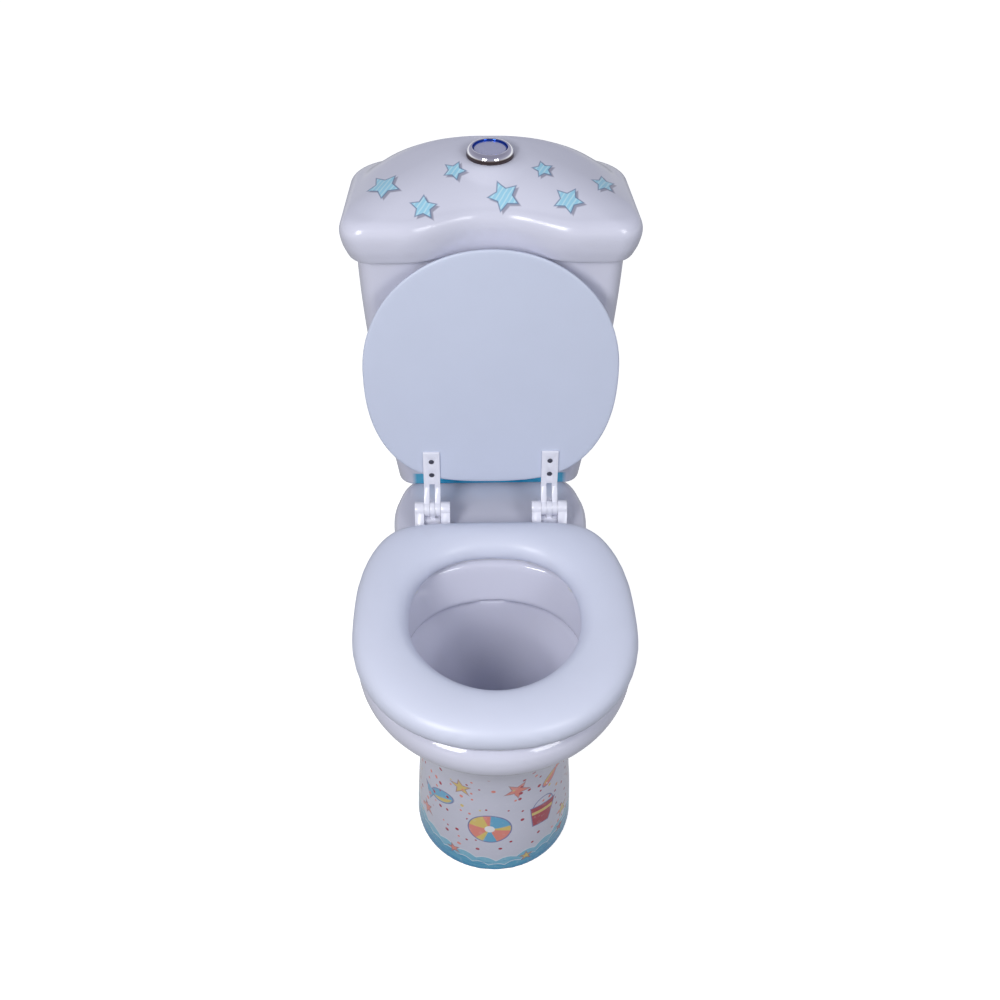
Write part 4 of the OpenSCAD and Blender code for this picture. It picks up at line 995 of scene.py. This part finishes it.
def moulded(name, tone, soft, mottle=0.03, grain=0.8, depth=0.02, **plain):
    """Moulded plastic or rubber: faint mottling and a fine surface texture."""
    finish = Finish(name, tone, roughness=soft, **plain)
    finish.drive("Base Color", finish.shade(tone, mottle, finish.noise(12, 3)))
    finish.rough(soft * 0.85, min(1, soft * 1.15), finish.noise(5, 2))
    finish.bump(finish.noise(grain, 2), depth)
    return finish


def metal(name, tone, soft, stretch=(1, 1, 1), depth=0.004, spots=0.04):
    """Metal with fine working marks drawn out along one way."""
    finish = Finish(name, tone, metallic=1.0, roughness=soft)
    marks = finish.noise(0.6, 3, stretch)
    finish.drive("Base Color", finish.shade(tone, spots, finish.noise(9, 3)))
    finish.rough(soft * 0.8, soft * 1.3, marks)
    finish.bump(marks, depth)
    return finish


def bezel_finish():
    """Bright chrome with a painted dark reflection on its lowest edge, and deep blue down its bore."""
    tone = (0.80, 0.81, 0.87)
    finish = Finish("bright_chrome", tone, metallic=1.0, roughness=0.05)
    away = length(finish.x, finish.y - valve_y)
    color = finish.shade(tone, 0.01, finish.noise(9, 3))
    # painted reflection: the ring's lowest 5.4 mm is coloured dark brown-black, in place of dark surroundings
    # mirrored there
    color = finish.blend(finish.z.below(bezel_base + 5.4, 1.4), color, (0.10, 0.075, 0.08))
    color = finish.blend(away.below(DISC_R + 1.7, 0.3), color, (0.02, 0.07, 0.42))
    finish.drive("Base Color", color)
    finish.rough(0.04, 0.065, finish.noise(0.6, 3, (1, 1, 0.2)))
    finish.bump(finish.noise(3, 2), 0.0015)
    return finish


def disc_finish():
    """Satin push disc with faint turned rings."""
    tone = (0.56, 0.58, 0.76)
    finish = Finish("satin_chrome", tone, metallic=0.55, roughness=0.26)
    away = length(finish.x, finish.y - valve_y)
    rings = (away * 9.0).math("SINE") * 0.5 + 0.5
    finish.drive("Base Color", finish.shade(tone, 0.03, finish.noise(10, 3)))
    finish.rough(0.2, 0.3, rings)
    finish.bump(rings, 0.004)
    return finish


# Camera, lamps, room ------------------------------------------------------------------------------


CAMERA_PLACE, LENS = Vector((-0.0344, -1.015, 1.309)), 42.23
CAMERA_TURNS = (42.0, 2.4, -0.9)


def place_camera():
    """Looks down on the seat from in front, a little from the sitter's right."""
    pitch, yaw, roll = (math.radians(turn) for turn in CAMERA_TURNS)
    ahead = Vector((math.sin(yaw) * math.cos(pitch), math.cos(yaw) * math.cos(pitch), -math.sin(pitch)))
    side = Vector((math.cos(yaw), -math.sin(yaw), 0))
    up = side.cross(ahead)
    across = math.cos(roll) * side - math.sin(roll) * up
    upward = math.sin(roll) * side + math.cos(roll) * up
    camera = bpy.data.objects.new("camera", bpy.data.cameras.new("camera"))
    scene.collection.objects.link(camera)
    turn = Matrix((across, upward, -ahead)).transposed().to_4x4()
    camera.matrix_world = Matrix.Translation(CAMERA_PLACE) @ turn
    camera.data.sensor_width, camera.data.lens = 36.0, LENS
    camera.data.clip_start, camera.data.clip_end = 0.05, 60
    scene.camera = camera


def lamp(name, place, target, size, watts, color):
    """Rectangular lamp at a place, turned to its target."""
    light = bpy.data.lights.new(name, "AREA")
    light.shape, light.size, light.size_y = "RECTANGLE", *size
    light.energy, light.color = watts, color
    holder = bpy.data.objects.new(name, light)
    scene.collection.objects.link(holder)
    holder.location = place
    holder.rotation_euler = (Vector(target) - Vector(place)).to_track_quat("-Z", "Y").to_euler()


def wire_up(tree, *pairs):
    """Links outputs to inputs, each given as a node and its socket's name or number."""
    for source, out, target, into in pairs:
        tree.links.new(source.outputs[out], target.inputs[into])


def room_light(level, color):
    """Even soft light; the camera sees white, mirror and glass rays white low down and a dimmer ceiling."""
    world = bpy.data.worlds.new("room")
    scene.world = world
    world.use_nodes = True
    tree = world.node_tree
    tree.nodes.clear()

    def add(kind, **settings):
        made = tree.nodes.new(kind)
        for key, value in settings.items():
            setattr(made, key, value)
        return made

    even, seen, mix, out = (add(k) for k in ("ShaderNodeBackground", "ShaderNodeBackground",
                                             "ShaderNodeMixShader", "ShaderNodeOutputWorld"))
    even.inputs["Color"].default_value = (*color, 1)
    even.inputs["Strength"].default_value = level
    path, place, parts = (add(k) for k in ("ShaderNodeLightPath", "ShaderNodeTexCoord",
                                           "ShaderNodeSeparateXYZ"))
    ramp = add("ShaderNodeValToRGB")
    Finish.stops(ramp.color_ramp, [(0.0, (1, 1, 1)), (0.1, (1, 1, 1)), (0.3, (0.42, 0.41, 0.50)),
                                   (0.8, (0.30, 0.29, 0.37))])
    plain = add("ShaderNodeMix", data_type="RGBA")
    plain.inputs[7].default_value = (1, 1, 1, 1)
    either = add("ShaderNodeMath", operation="MAXIMUM")
    glass = add("ShaderNodeMath", operation="MAXIMUM")
    wire_up(tree, (place, "Generated", parts, 0), (parts, "Z", ramp, "Fac"),
            (path, "Is Camera Ray", plain, "Factor"), (ramp, "Color", plain, 6), (plain, 2, seen, "Color"),
            (path, "Is Camera Ray", either, 0), (path, "Is Glossy Ray", either, 1),
            (either, 0, glass, 0), (path, "Is Transmission Ray", glass, 1), (glass, 0, mix, "Fac"),
            (even, 0, mix, 1), (seen, 0, mix, 2), (mix, 0, out, "Surface"))


def lay_floor(glow):
    """Pale floor that looks white in view and in mirrors, and still takes the foot's shadow."""
    floor = new_piece("floor", [(-9000, -9000, 0), (9000, -9000, 0), (9000, 12000, 0), (-9000, 12000, 0)],
                      [(0, 1, 2, 3)], smooth=False)
    floor.location.z = -0.0004
    finish = bpy.data.materials.new("pale_floor")
    finish.use_nodes = True
    tree = finish.node_tree
    tree.nodes.clear()
    plain, light, both, none, mix, out, path, seen = (tree.nodes.new(k) for k in (
        "ShaderNodeBsdfDiffuse", "ShaderNodeEmission", "ShaderNodeAddShader", "ShaderNodeBsdfDiffuse",
        "ShaderNodeMixShader", "ShaderNodeOutputMaterial", "ShaderNodeLightPath", "ShaderNodeMath"))
    plain.inputs["Color"].default_value = (0.86, 0.86, 0.86, 1)
    none.inputs["Color"].default_value = (0.10, 0.10, 0.11, 1)
    light.inputs["Strength"].default_value = glow
    seen.operation = "MAXIMUM"
    dim = tree.nodes.new("ShaderNodeMath")
    dim.operation, dim.inputs[1].default_value = "MULTIPLY", 0.4
    wire_up(tree, (path, "Is Glossy Ray", dim, 0), (path, "Is Camera Ray", seen, 0), (dim, 0, seen, 1),
            (plain, 0, both, 0), (light, 0, both, 1), (seen, 0, mix, "Fac"), (none, 0, mix, 1),
            (both, 0, mix, 2), (mix, 0, out, "Surface"))
    floor.data.materials.append(finish)


# Everything together ------------------------------------------------------------------------------

scene.view_settings.view_transform = "Standard"
place_camera()
room_light(0.42, (0.90, 0.92, 1.0))
LIT_PLACE, LAMP_SIZE = (0, 0, 0.42), (0.45, 0.50)
lamp("key", (-0.68, -0.98, 1.27), LIT_PLACE, LAMP_SIZE, 12.0, (1.0, 0.99, 0.98))
lamp("fill", (0.72, -1.0, 1.24), LIT_PLACE, LAMP_SIZE, 6.0, (0.97, 0.98, 1.0))
lay_floor(0.70)

finishes = {
    "pan_glaze": china_glaze("glaze_pan", beach_print),
    "cistern_glaze": china_glaze("glaze_cistern", cistern_print),
    "lid_glaze": china_glaze("glaze_lid", lid_stars, 0.20),
    "seat_vinyl": vinyl("seat_vinyl", (0.63, 0.665, 0.80), 0.9, 0.40),
    "cover_face_vinyl": vinyl("cover_face_vinyl", (0.58, 0.63, 0.775), 1.1, 0.46),
    "board_white": moulded("board_white", (0.78, 0.79, 0.84), 0.35),
    "hinge_nylon": moulded("hinge_nylon", (0.78, 0.79, 0.89), 0.30, coat_weight=0.15),
    "stainless_pin": metal("stainless_pin", (0.62, 0.62, 0.60), 0.25, (0.05, 1, 1)),
    "dark_screw": metal("dark_screw", (0.16, 0.16, 0.19), 0.35),
    "bright_chrome": bezel_finish(),
    "satin_chrome": disc_finish(),
    "deep_blue": moulded("deep_blue", (0.015, 0.06, 0.42), 0.15),
    "valve_white": moulded("valve_white", (0.84, 0.84, 0.84), 0.42),
    "valve_grey": moulded("valve_grey", (0.55, 0.57, 0.60), 0.45),
    "valve_blue": moulded("valve_blue", (0.06, 0.22, 0.55), 0.42),
    "hose_white": moulded("hose_white", (0.80, 0.81, 0.81), 0.5, 0.05, 1.5),
    "brass_bolt": metal("brass_bolt", (0.72, 0.50, 0.20), 0.25),
    "zinc_steel": metal("zinc_steel", (0.62, 0.64, 0.66), 0.3),
    "black_rubber": moulded("black_rubber", (0.03, 0.03, 0.03), 0.6, 0.15),
    "buffer_rubber": moulded("buffer_rubber", (0.72, 0.73, 0.76), 0.6),
    "sponge_rubber": moulded("sponge_rubber", (0.05, 0.05, 0.055), 0.85, 0.3, 1.4, 0.2),
}
paint = {name: finish.material for name, finish in finishes.items()}

# New pieces: name of the node that each stands for, its body and the record's slot
face, cover_padding = build_cover(paint["cover_face_vinyl"], paint["seat_vinyl"])
dressed = [
    (build_pan(paint["pan_glaze"]), "pan", "toilet", "glazed_china"),
    (build_tank(paint["cistern_glaze"]), "cistern_tank", "toilet", "glazed_china"),
    (build_lid(paint["lid_glaze"]), "cistern_lid", "toilet", "glazed_china"),
    (build_seat_pad(paint["seat_vinyl"]), "seat_pad", "seat", "seat_vinyl"),
    (face, "cover_board", "cover", "cover_face_vinyl"),
    (cover_padding, "cover_pad", "cover", "seat_vinyl"),
    (build_bezel(paint["bright_chrome"]), "button_bezel", "toilet", "bright_chrome"),
    (build_disc(paint["satin_chrome"]), "flush_button", "button", "satin_chrome"),
]
for piece, node, body, slot in dressed:
    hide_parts(node)
    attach(piece, body)

# Solids that stay: shaded smooth but for their edges, which are slightly rounded
stands_for = {node for _, node, _, _ in dressed}
slot_of = {part["node"]: part["material_slot"] for part in frame["record"]["subparts"]}
for name, solid in nodes.items():
    if name in stands_for:
        continue
    weld = solid.modifiers.new("weld", "WELD")
    weld.merge_threshold = 1e-5
    bevel = solid.modifiers.new("edges", "BEVEL")
    bevel.width, bevel.segments, bevel.limit_method = 0.0004, 2, "ANGLE"
    bevel.angle_limit, bevel.harden_normals = math.radians(35), True
    solid.data.shade_smooth()
    for holder in solid.material_slots:
        holder.material = paint[slot_of[name]]
